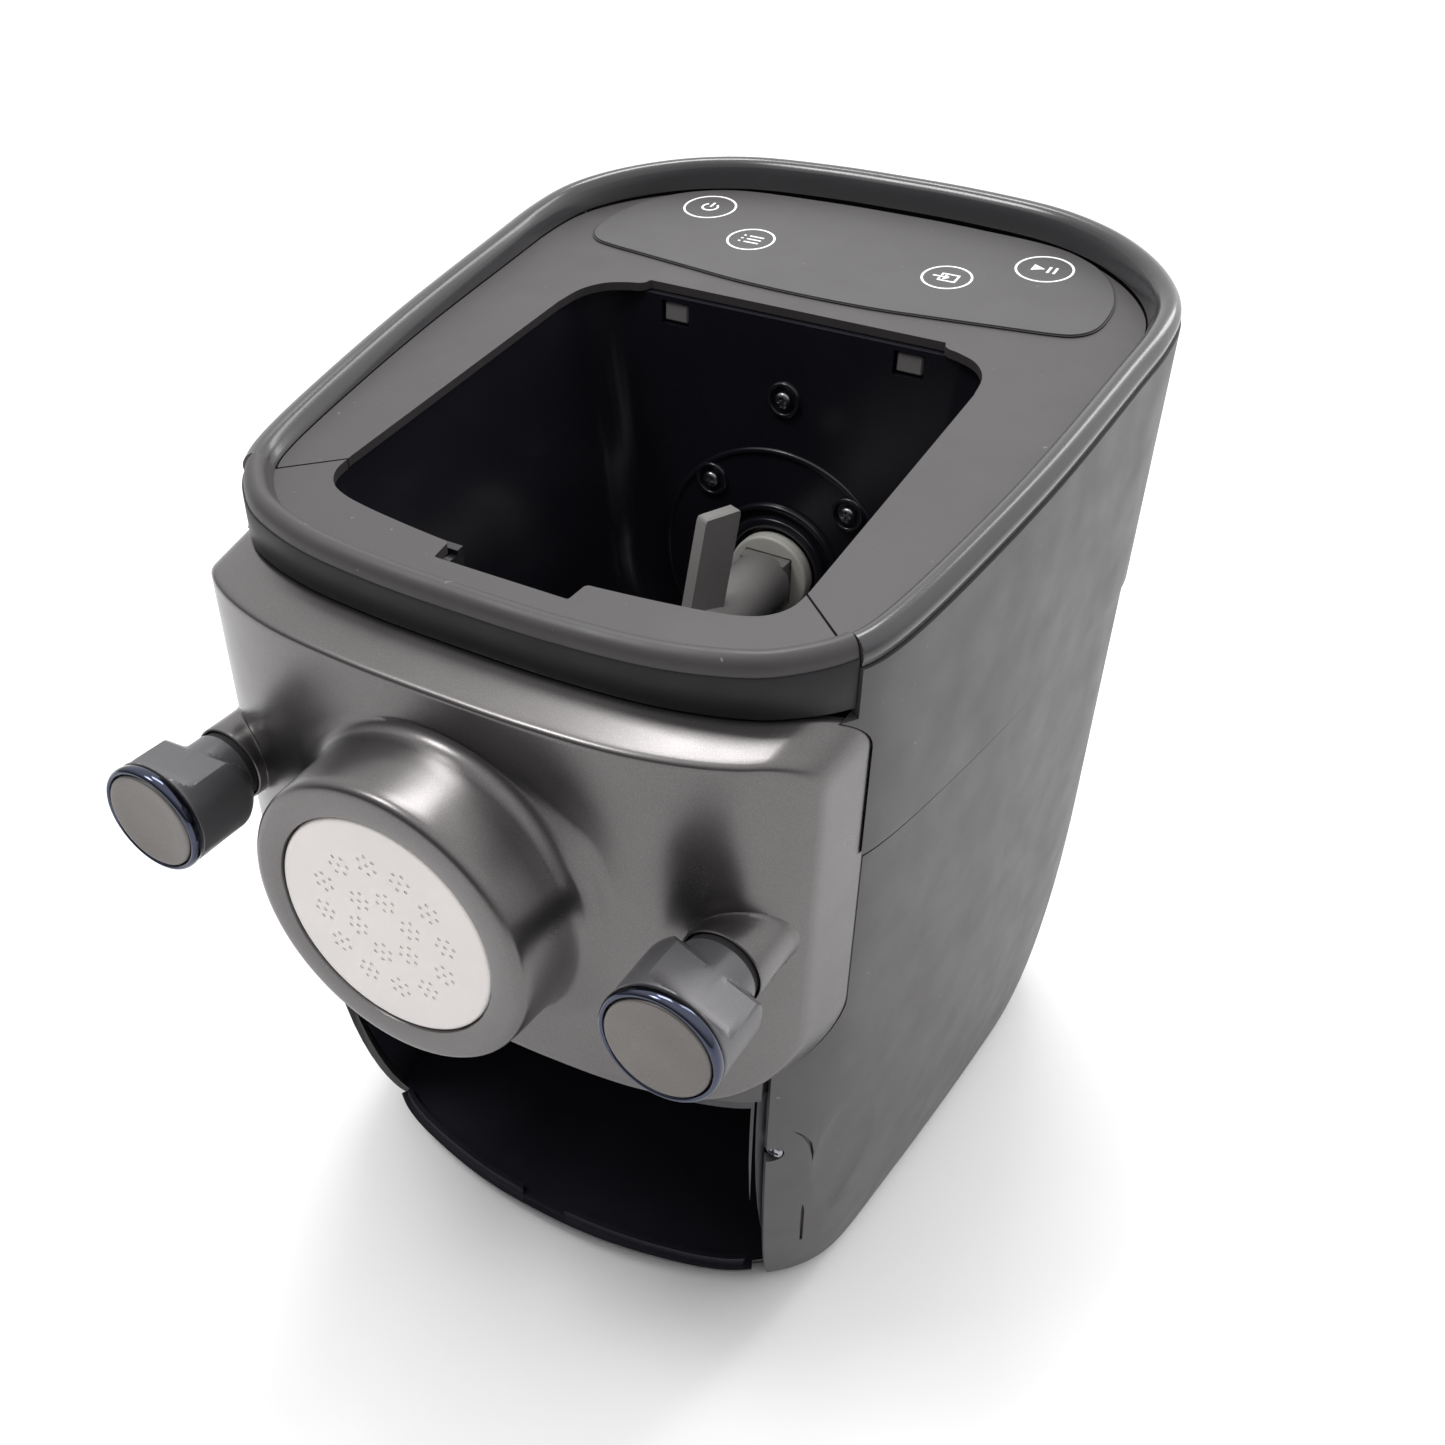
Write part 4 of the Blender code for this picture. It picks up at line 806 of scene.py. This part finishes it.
for side in (-1, 1):
    socket_rows = []
    turns = [2 * math.pi * k / 72 for k in range(72)]
    ladder = [(0.011, 0.0006, None), (0.0114, 0.0001, None), (0.0117, 0.0, None),
              (0.012, 0.0003, None), (0.0121, 0.0009, None), (0.0121, 0.3, "wall"),
              (0.01213, 0.6, "wall"), (0.01217, 0.86, "wall"), (0.0123, 0.95, "wall"),
              (0.0127, 1.0, "wall"), (0.0127, None, "inside"), (0.011, None, "inside")]
    for r, depth, kind in ladder:
        row = []
        for a in turns:
            x, z = side * KNOB_X + r * math.cos(a), KNOB_Z + r * math.sin(a)
            ground = panel_face_y(x, edge_relief)
            if kind is None:
                y = SOCKET_FACE_Y + depth
            elif kind == "wall":
                y = SOCKET_FACE_Y + 0.001 + (ground + 0.00005 - SOCKET_FACE_Y - 0.001) * depth
            else:
                y = ground + 0.0016
            row.append((x, y, z))
        socket_rows.append(row)
    cut(panel, loft("tool", socket_rows), operation="UNION")
    cut(panel, rod("tool", (side * KNOB_X, 0.0, KNOB_Z), SOCKET_BORE, -0.2, -0.104))
    cut(panel, rod("tool", (side * KNOB_X, 0.0, KNOB_Z), 0.0046, -0.2, -0.05, segments=32))
piece(panel, METAL, body="front_cover", angle=32, stands_for=["front_panel"])

# ---- knobs
STEM = SOCKET_BORE
# (radius, distance behind the face, distance of the two grip flats from the axis)
KNOB_ROWS = [(0.014, 0.0016, 1.0), (0.0147, 0.0018, 1.0), (0.0149, 0.0022, 1.0),
             (0.0149, 0.0042, 1.0), (0.0165, 0.0042, 1.0), (0.0168, 0.0044, 1.0),
             (0.0169, 0.0048, 0.0163), (0.0169, 0.0054, 0.0147), (0.0169, 0.0062, 0.0133),
             (0.0169, 0.0072, 0.0123), (0.0169, 0.0086, 0.01175), (0.0169, 0.011, 0.0115),
             (0.0169, 0.015, 0.01137), (0.0169, 0.019, 0.01126), (0.0169, 0.0212, 0.0112),
             (0.01685, 0.0219, 0.0108), (0.0167, 0.0228, 0.0101), (0.0164, 0.0236, 0.0093),
             (0.0159, 0.0245, 0.0081), (0.0152, 0.0255, 0.0069), (0.0143, 0.0265, 0.0056),
             (0.0132, 0.0275, 0.0043), (0.0121, 0.0282, 0.0033), (0.0115, 0.0287, 0.0028),
             (STEM, 0.029, 1.0), (STEM, 0.0294, 1.0), (0.0111, 0.0297, 1.0),
             (0.0102, 0.0298, 1.0), (0.0102, 0.0515, 1.0), (0.0036, 0.0515, 1.0),
             (0.0036, 0.078, 1.0), (0.0028, 0.079, 1.0)]
for side, label, twist in ((-1, "left", 93.0), (1, "right", 66.0)):
    centre = (side * KNOB_X, KNOB_FACE_Y, KNOB_Z)
    rows = []
    for r, along, flat in KNOB_ROWS:
        row = []
        for k in range(144):
            off = math.radians(2.5 * k)
            reach = min(r, flat / max(0.02, abs(math.cos(off))))
            if r > STEM:
                reach = max(reach, STEM)
            a = math.radians(twist) + off
            row.append((centre[0] + reach * math.cos(a), centre[1] + along,
                        centre[2] + reach * math.sin(a)))
        rows.append(row)
    piece(loft(f"grip_{label}", rows), GRIP, body=f"knob_{label}_body", angle=24,
          stands_for=[f"knob_{label}"])
    section = [(0.0152, 0.0036), (0.0152, 0.0014), (0.0154, 0.0007), (0.0158, 0.0003),
               (0.0162, 0.0003), (0.0167, 0.0007), (0.017, 0.0014), (0.0171, 0.0022),
               (0.017, 0.0031), (0.0167, 0.0038), (0.0161, 0.004)]
    hoop = lathe(f"grip_ring_{label}", section, centre, segments=128, closed=True)
    piece(hoop, CHROME, body=f"knob_{label}_body", angle=60, stands_for=[f"knob_ring_{label}"])
    dish = [(0.0, 0.001), (0.004, 0.00095), (0.008, 0.0008), (0.0115, 0.0005),
            (0.0138, 0.0002), (0.0145, 0.0002), (0.0149, 0.0005), (0.015, 0.0014), (0.0, 0.0015)]
    piece(lathe(f"grip_cap_{label}", dish, centre, segments=128), CAP,
          body=f"knob_{label}_body", angle=50, stands_for=[f"knob_cap_{label}"])
    # rubber sleeve on the stem in the gap before the socket; its black is painted shade, standing
    # for the shade inside that gap
    gap_shade_sleeve = [(0.01025, 0.03), (0.0107, 0.03), (0.0108, 0.031), (0.0108, 0.04),
              (0.01025, 0.04)]
    piece(lathe(f"grip_gap_shade_{label}", gap_shade_sleeve, centre, segments=72, closed=True), RUBBER,
          body=f"knob_{label}_body", angle=50)

# ---- die, extruding tube, support
die = lathe("die_plate", [(0.0, -0.1588), (0.0328, -0.1588), (0.0335, -0.1587), (0.034, -0.1583),
                          (0.0342, -0.1577), (0.0342, -0.1555), (0.0369, -0.1555),
                          (0.037, -0.1553), (0.037, -0.1489), (0.0, -0.1489)],
            (0.0, 0.0, SHAFT_Z), segments=128)
holes = []
for ring_radius, count, start in DIE_PITCHES:
    for index in range(count):
        turn = math.radians(start + 360.0 * index / count)
        cx, cz = ring_radius * math.cos(turn), SHAFT_Z + ring_radius * math.sin(turn)
        spots = [(0.0, 0.0)] + [(DIE_HOLE_STEP * math.cos(turn + k * math.pi / 3),
                                 DIE_HOLE_STEP * math.sin(turn + k * math.pi / 3))
                                for k in range(6)]
        for dx, dz in spots:
            holes.append(rod("hole", (cx + dx, 0.0, cz + dz), DIE_HOLE, -0.16, -0.15845,
                             segments=10))
cut(die, join_meshes("tool", holes))
piece(die, DIE, edge=0.0, angle=40, stands_for=["die_disc"])
tube = [(0.0262, -0.1455), (0.0346, -0.1455), (0.035, -0.1451), (0.035, -0.1404),
        (0.0345, -0.1399), (0.0303, -0.1388), (0.0296, -0.137), (0.029, -0.095),
        (0.029, -0.079), (0.0262, -0.079)]
piece(lathe("tube_extruding", tube, (0.0, 0.0, SHAFT_Z), closed=True), INNER, edge=0.0003,
      stands_for=["extruding_tube"])
half = [plan(s, 0.2, 0.0105) for s in spread(0.0, 9.2, 36)]
outer = [(-x, y) for x, y in half[:0:-1]] + half
support = slab("support_frame", outer + [(x, y + 0.004) for x, y in outer[::-1]],
               lambda y: PANEL_LOW_Z + 0.001, lambda y: PANEL_TOP_Z - 0.004)
cut(support, rod("tool", (0.0, 0.0, SHAFT_Z), 0.0345, -0.15, -0.05))
for side in (-1, 1):
    centre = (side * KNOB_X, 0.0, KNOB_Z)
    cut(support, rod("tool", centre, 0.0085, -0.0955, -0.08, segments=40), operation="UNION")
    cut(support, rod("tool", centre, 0.0063, -0.15, -0.05, segments=40))
piece(support, INNER, edge=0.0004, stands_for=["panel_support"])

# ---- chamber
def tub_rows(grow):
    """Loops from the rim of the tub down to its round bottom, grown outward by grow."""
    loops = []
    levels = [(TUB_TOP_HALF + (TUB_RADIUS + 0.0012 - TUB_TOP_HALF) * (k / 8) ** 0.85, k / 8)
              for k in range(8)]
    for half_width, share in levels:
        loops.append(tub_ring(half_width, grow, 0.0155,
                              lambda y, q=share: (top_z(y) - 0.0032) * (1 - q) + SHAFT_Z * q))
    for k in range(0, 17):
        turn = math.radians(86.0 * k / 16)
        half_width = TUB_RADIUS * math.cos(turn)
        z = SHAFT_Z - (TUB_RADIUS + grow) * math.sin(turn)
        loops.append(tub_ring(half_width, grow * math.cos(turn), 0.0155, lambda y, q=z: q,
                              end_grow=grow))
    return loops


def tub_ring(half_width, grow, corner, z_of, end_grow=None):
    """Loop with a fixed number of points: straight sides and rounded corners."""
    end_grow = grow if end_grow is None else end_grow
    corner = max(0.001, min(corner, half_width * 0.8))
    wide = half_width + grow
    y0, y1 = TUB_FRONT_Y - end_grow, TUB_REAR_Y + end_grow
    pts = []
    for cx, cy, start in ((wide - corner, y0 + corner, -90), (wide - corner, y1 - corner, 0),
                          (-wide + corner, y1 - corner, 90), (-wide + corner, y0 + corner, 180)):
        for i in range(9):
            turn = math.radians(start + 90 * i / 8)
            pts.append((cx + corner * math.cos(turn), cy + corner * math.sin(turn)))
        nx, ny = {-90: (wide, y1 - corner), 0: (-wide + corner, y1), 90: (-wide, y0 + corner),
                  180: (wide - corner, y0)}[start]
        lx, ly = pts[-1]
        pts += [(lx + (nx - lx) * q / 5, ly + (ny - ly) * q / 5) for q in range(1, 5)]
    return [(x, y, z_of(y)) for x, y in pts]


outside, inside = tub_rows(TUB_WALL), tub_rows(0.0)
rows = inside[::-1] + outside
tub = loft("tub_mixing", rows)
# pocket behind the notch at the front of the opening
cut(tub, block("tool", (-0.0228, -0.1008, 0.25), (0.0228, -0.0882, 0.2682)), operation="UNION")
cut(tub, block("tool", (-0.0205, -0.099, 0.2525), (0.0205, -0.08, 0.299)))
cut(tub, rod("tool", (0.0, 0.0, SHAFT_Z), 0.0294, -0.12, -0.07))
cut(tub, rod("tool", (0.0, 0.0, SHAFT_Z), 0.0124, 0.05, 0.09))
SCREWS = [("upper", 0.0, 0.2617), ("left", -0.0272, 0.2256), ("right", 0.0272, 0.2256)]
for side in (-1, 1):
    x = side * 0.0434
    cut(tub, block("tool", (x - 0.0054, 0.055, 0.279), (x + 0.0054, 0.08, 0.287)))
piece(tub, CHAMBER, edge=0.0005, angle=30, stands_for=["mixing_chamber"])
for index, (low_r, high_r, height) in enumerate(((0.0172, 0.0212, 0.003), (0.0238, 0.0262, 0.0022),
                                                 (0.0446, 0.047, 0.0011))):
    lift = TUB_REAR_Y + 0.0003
    section = [(low_r, lift), (low_r + 0.0002, lift - height + 0.0004),
               (low_r + 0.0006, lift - height), (high_r - 0.0006, lift - height),
               (high_r - 0.0002, lift - height + 0.0004), (high_r, lift)]
    made = lathe(f"hub_ring_{index}", section, (0.0, 0.0, SHAFT_Z), segments=128, closed=True)
    piece(made, CHAMBER, stands_for=["chamber_hub_ring"] if index == 0 else (),
          angle=50)


def screw_head(name, x, y, z, radius, node):
    """Pan head with a cross recess, facing -Y."""
    head = lathe(name, [(0.0, 0.0), (radius * 0.55, 0.0001), (radius * 0.85, 0.0004),
                        (radius, 0.001), (radius, 0.0022), (radius * 0.5, 0.0022),
                        (radius * 0.5, 0.012), (0.0, 0.012)], (x, y, z), segments=40)
    for a, b in ((0.62, 0.16), (0.16, 0.62)):
        cut(head, block("tool", (x - radius * a, y - 0.002, z - radius * b),
                        (x + radius * a, y + 0.0011, z + radius * b)))
    piece(head, STEEL, edge=0.0001, stands_for=[node])


for label, x, z in SCREWS:
    screw_head(f"screw_{label}", x, 0.0612, z, 0.003, f"chamber_screw_{label}")
    section = [(0.0046, 0.0638), (0.0047, 0.0626), (0.0052, 0.0622), (0.0058, 0.0622),
               (0.0063, 0.0626), (0.0064, 0.0638)]
    piece(lathe(f"screw_seat_{label}", section, (x, 0.0, z), segments=48, closed=True), CHAMBER,
          angle=60)
for side, label in ((-1, "left"), (1, "right")):
    low = plan(station_at_x(SCREW_X, SCREW_Z), SCREW_Z)[1]
    screw_head(f"screw_column_{label}", side * SCREW_X, low + 0.0012, SCREW_Z, 0.0027,
               f"column_screw_{label}")

# ---- drive: coupling, paddle, auger
coupling = lathe("coupling", [(0.0, 0.0575), (0.0144, 0.0575), (0.015, 0.0576), (0.0154, 0.058),
                              (0.0155, 0.0586), (0.0155, 0.0628), (0.0085, 0.0632),
                              (0.0085, 0.096), (0.0, 0.096)], (0.0, 0.0, SHAFT_Z))
cut(coupling, block("tool", (-0.0092, 0.03, SHAFT_Z - 0.0092), (0.0092, 0.062, SHAFT_Z + 0.0092)))
piece(coupling, LIGHT, body="drive_train", edge=0.0003, stands_for=["drive_coupling"])


def paddle_arm(y_root, y_tip, turn, reach):
    """Flat bar out from the hub, leaning along the shaft, with a chamfered tip."""
    wide, thick = 0.0072, 0.0026
    rows = []
    for share, w, t in ((0.0, wide, thick), (0.955, wide, thick), (0.985, wide * 0.93, thick),
                        (1.0, wide * 0.8, thick * 0.7)):
        radial = 0.004 + (reach - 0.004) * share
        y = y_root + (y_tip - y_root) * share
        row = []
        for a, b in ((-w, -t), (w, -t), (w, t), (-w, t)):
            across, along = a * 0.42 + b * 0.9, a * 0.9 - b * 0.42
            row.append((radial * math.sin(turn) + across * math.cos(turn), y + along,
                        SHAFT_Z + radial * math.cos(turn) - across * math.sin(turn)))
        rows.append(row)
    return loft("arm", rows)


paddle = lathe("paddle", [(0.0, -0.054), (0.0095, -0.054), (0.0106, -0.0536), (0.0114, -0.0526),
                          (0.0116, -0.0512), (0.0116, 0.0515), (0.0114, 0.0527),
                          (0.0106, 0.0543), (0.0096, 0.0545), (0.0, 0.0545)],
               (0.0, 0.0, SHAFT_Z))
square = block("tool", (-0.0088, 0.052, SHAFT_Z - 0.0088), (0.0088, 0.0612, SHAFT_Z + 0.0088))
cut(paddle, square, operation="UNION")
for y_root, y_tip, turn, reach in ((0.007, 0.021, -1, 0.042), (-0.006, -0.014, 160, 0.056),
                                   (-0.03, -0.038, 38, 0.048)):
    cut(paddle, paddle_arm(y_root, y_tip, math.radians(turn), reach), operation="UNION")
piece(paddle, PADDLE, body="drive_train", edge=0.0004, angle=32, stands_for=["mixing_paddle"])

rows = []
for i in range(181):
    y = -0.144 + 0.0896 * i / 180
    row = []
    for j in range(96):
        turn = 2 * math.pi * j / 96
        phase = (turn - 2 * math.pi * (y + 0.144) / 0.034) % (2 * math.pi)
        away = min(phase, 2 * math.pi - phase)
        lift = max(0.0, min(1.0, (0.62 - away) / 0.26))
        radius = 0.01 + 0.0155 * lift * lift * (3 - 2 * lift)
        row.append((radius * math.cos(turn), y, SHAFT_Z + radius * math.sin(turn)))
    rows.append(row)
piece(loft("auger", rows), PADDLE, body="drive_train", angle=50, stands_for=["auger_screw"])

# ---- drawer bay, lintel, base, feet
rows = []
for z in (0.008, 0.01, 0.013, 0.018, 0.026, 0.035, 0.047, 0.06, 0.075, 0.09, 0.105,
          BAY_TOP_Z):
    half = []
    for s in spread(0.0, 9.5, 77):
        x, y = plan(s, z, 0.0012 if s < 7.3 else 0.0046)
        half.append((min(x, BAY_HALF - 0.00001 * (9.5 - s)), y))
    half.append((BAY_HALF, BAY_REAR_Y))
    rows.append([(x, y, z) for x, y in [(-x, y) for x, y in half[:0:-1]] + half])
bay = loft("bay_box", rows)
cut(bay, block("tool", (-0.0825, -0.2, 0.0105), (0.0825, 0.0375, 0.1172)))
half = [p for p in (plan(s, 0.016, 0.0055) for s in spread(0.0, 7.0, 49)) if p[0] < 0.078]
outer = [(-x, y) for x, y in half[:0:-1]] + half
bead = slab("bay_bead", outer + [(x, y + 0.0022) for x, y in outer[::-1]], lambda y: 0.0095,
            lambda y: 0.014)
cut(bead, rod("tool", (0.0, -0.0975, 0.0), 0.0098, 0.0112, 0.05, axis="Z"))
cut(bay, bead, operation="UNION")
piece(bay, BAY, edge=0.0004, stands_for=["drawer_bay"])

half = [plan(s, 0.2, 0.0008) for s in spread(0.0, 7.55, 60)]
outer = [(-x, y) for x, y in half[:0:-1]] + half
lintel = slab("lintel", outer + [(x * 0.985, y + 0.008) for x, y in outer[::-1]],
              lambda y: BAY_TOP_Z + 0.0004, lambda y: PANEL_LOW_Z - GAP)
for side in (-1, 1):
    groove = loft("tool", [[(side * (x + dx), y, z) for dx, y in
                            ((-0.0003, -0.14), (0.0003, -0.14), (0.0003, front_y(0.05) + 0.0009),
                             (-0.0003, front_y(0.05) + 0.0009))]
                           for x, z in ((0.046, 0.118), (0.052, 0.13))])
    cut(lintel, groove)
piece(lintel, SHELL, edge=0.0003, stands_for=["bay_lintel"])

half = [plan(s, 0.006, 0.0048) for s in spread(0.0, LAST, 90)]
loop = half + [(-x, y) for x, y in half[-2:0:-1]]
base = slab("base_cover", loop, lambda y: 0.0046, lambda y: 0.0076)
vents = []
for k in range(9):
    for x in (-0.018, 0.018):
        y = 0.01 + 0.008 * k
        vents.append(slab("vent", [(x - 0.014, y), (x + 0.014, y), (x + 0.014, y + 0.0035),
                                   (x - 0.014, y + 0.0035)], lambda q: 0.0, lambda q: 0.0058))
cut(base, join_meshes("tool", vents))
piece(base, INNER, edge=0.0004, stands_for=["base_plate"])
for x, y, label in ((-0.07, -0.058, "front_left"), (0.07, -0.058, "front_right"),
                    (-0.08, 0.105, "rear_left"), (0.08, 0.105, "rear_right")):
    foot = [(0.0, 0.0012), (0.004, 0.0012), (0.0048, 0.0004), (0.0056, 0.0), (0.007, 0.0),
            (0.008, 0.0003), (0.0088, 0.0012), (0.0093, 0.0028), (0.0095, 0.0042), (0.0, 0.0042)]
    piece(lathe(f"pad_{label}", foot, (x, y, 0.0), axis="Z", segments=64), RUBBER, angle=60,
          stands_for=[f"foot_{label}"])

# ---- CAD nodes that stay, with their finishes
KEPT = {
    "captive_washer_left": STEEL, "captive_washer_right": STEEL, "thread_insert_left": BRASS,
    "thread_insert_right": BRASS, "die_seal_ring": RUBBER, "shaft_seal": RUBBER,
    "output_gear": GEAR, "motor_pinion": GEAR, "gearbox_housing": INNER, "output_bearing": STEEL,
    "motor_can": ZINC, "motor_rotor": ZINC, "cooling_fan": INNER, "main_board": BOARD,
    "display_board": BOARD, "lid_switch_left": PADDLE, "lid_switch_right": PADDLE,
    "switch_guide_left": INNER, "switch_guide_right": INNER,
}
for name, mat in KEPT.items():
    node = frame["nodes"][name]
    node.data.materials.clear()
    node.data.materials.append(mat)
    for face in node.data.polygons:
        face.material_index = 0
    node.modifiers.new("join", "WELD").merge_threshold = 1e-6

# ---- floor, light, camera
size = 6.0
floor_rows = [[(-size, -size, z), (size, -size, z), (size, size, z), (-size, size, z)]
              for z in (-0.02, 0.0)]
floor = loft("floor", floor_rows)
floor.data.materials.append(FLOOR)

world = bpy.context.scene.world or bpy.data.worlds.new("studio")
bpy.context.scene.world = world
world.use_nodes = True
# bright above and behind, dim low in front
sky = world.node_tree
toward = sky.nodes.new("ShaderNodeTexCoord").outputs["Generated"]
aim = sky.nodes.new("ShaderNodeVectorMath")
aim.operation = "DOT_PRODUCT"
aim.inputs[1].default_value = (0.0, 0.6, 0.8)
sky.links.new(toward, aim.inputs[0])
glow = sky.nodes.new("ShaderNodeMapRange")
glow.interpolation_type = "SMOOTHSTEP"
for key, number in zip(("From Min", "From Max", "To Min", "To Max"), (-0.3, 0.72, 0.16, 1.32)):
    glow.inputs[key].default_value = number
sky.links.new(aim.outputs["Value"], glow.inputs["Value"])
sky.links.new(glow.outputs["Result"], sky.nodes["Background"].inputs["Strength"])
sky.nodes["Background"].inputs["Color"].default_value = (1.0, 1.0, 1.0, 1.0)
bpy.context.scene.view_settings.view_transform = "Standard"


def lamp(name, direction, distance, size_x, size_y, power, aim=(0.0, 0.0, 0.16)):
    """Soft rectangular light in the given direction from the object."""
    data = bpy.data.lights.new(name, "AREA")
    data.shape = "RECTANGLE"
    data.size, data.size_y = size_x, size_y
    data.energy = power
    obj = bpy.data.objects.new(name, data)
    bpy.context.scene.collection.objects.link(obj)
    way = Vector(direction).normalized()
    obj.location = Vector(aim) + way * distance
    obj.rotation_mode = "QUATERNION"
    obj.rotation_quaternion = way.to_track_quat("Z", "Y")
    return obj


lamp("ledge_light", (-0.16, 0.3, 0.93), 1.5, 0.6, 0.36, 9.0)
lamp("rim_right", (0.3, 0.7, 0.6), 1.5, 0.22, 0.9, 4.2)
lamp("rim_front", (-0.36, -0.34, 0.86), 1.5, 0.34, 0.34, 6.5)

AZIMUTH, ELEVATION, ROLL = math.radians(28.97), math.radians(36.895), math.radians(1.219)
back = Vector((math.sin(AZIMUTH) * math.cos(ELEVATION), -math.cos(AZIMUTH) * math.cos(ELEVATION),
               math.sin(ELEVATION)))
flat_right = Vector((math.cos(AZIMUTH), math.sin(AZIMUTH), 0.0))
flat_up = back.cross(flat_right)
right = math.cos(ROLL) * flat_right + math.sin(ROLL) * flat_up
up = -math.sin(ROLL) * flat_right + math.cos(ROLL) * flat_up
lens = bpy.data.cameras.new("camera")
lens.lens, lens.sensor_width = 36.464, 36.0
lens.shift_x, lens.shift_y = 0.01495, 0.02753
lens.clip_start, lens.clip_end = 0.02, 30.0
camera = bpy.data.objects.new("camera", lens)
bpy.context.scene.collection.objects.link(camera)
turn = Matrix((right, up, back)).transposed().to_4x4()
camera.matrix_world = Matrix.Translation((0.20682, -0.3632, 0.46191)) @ turn
bpy.context.scene.camera = camera
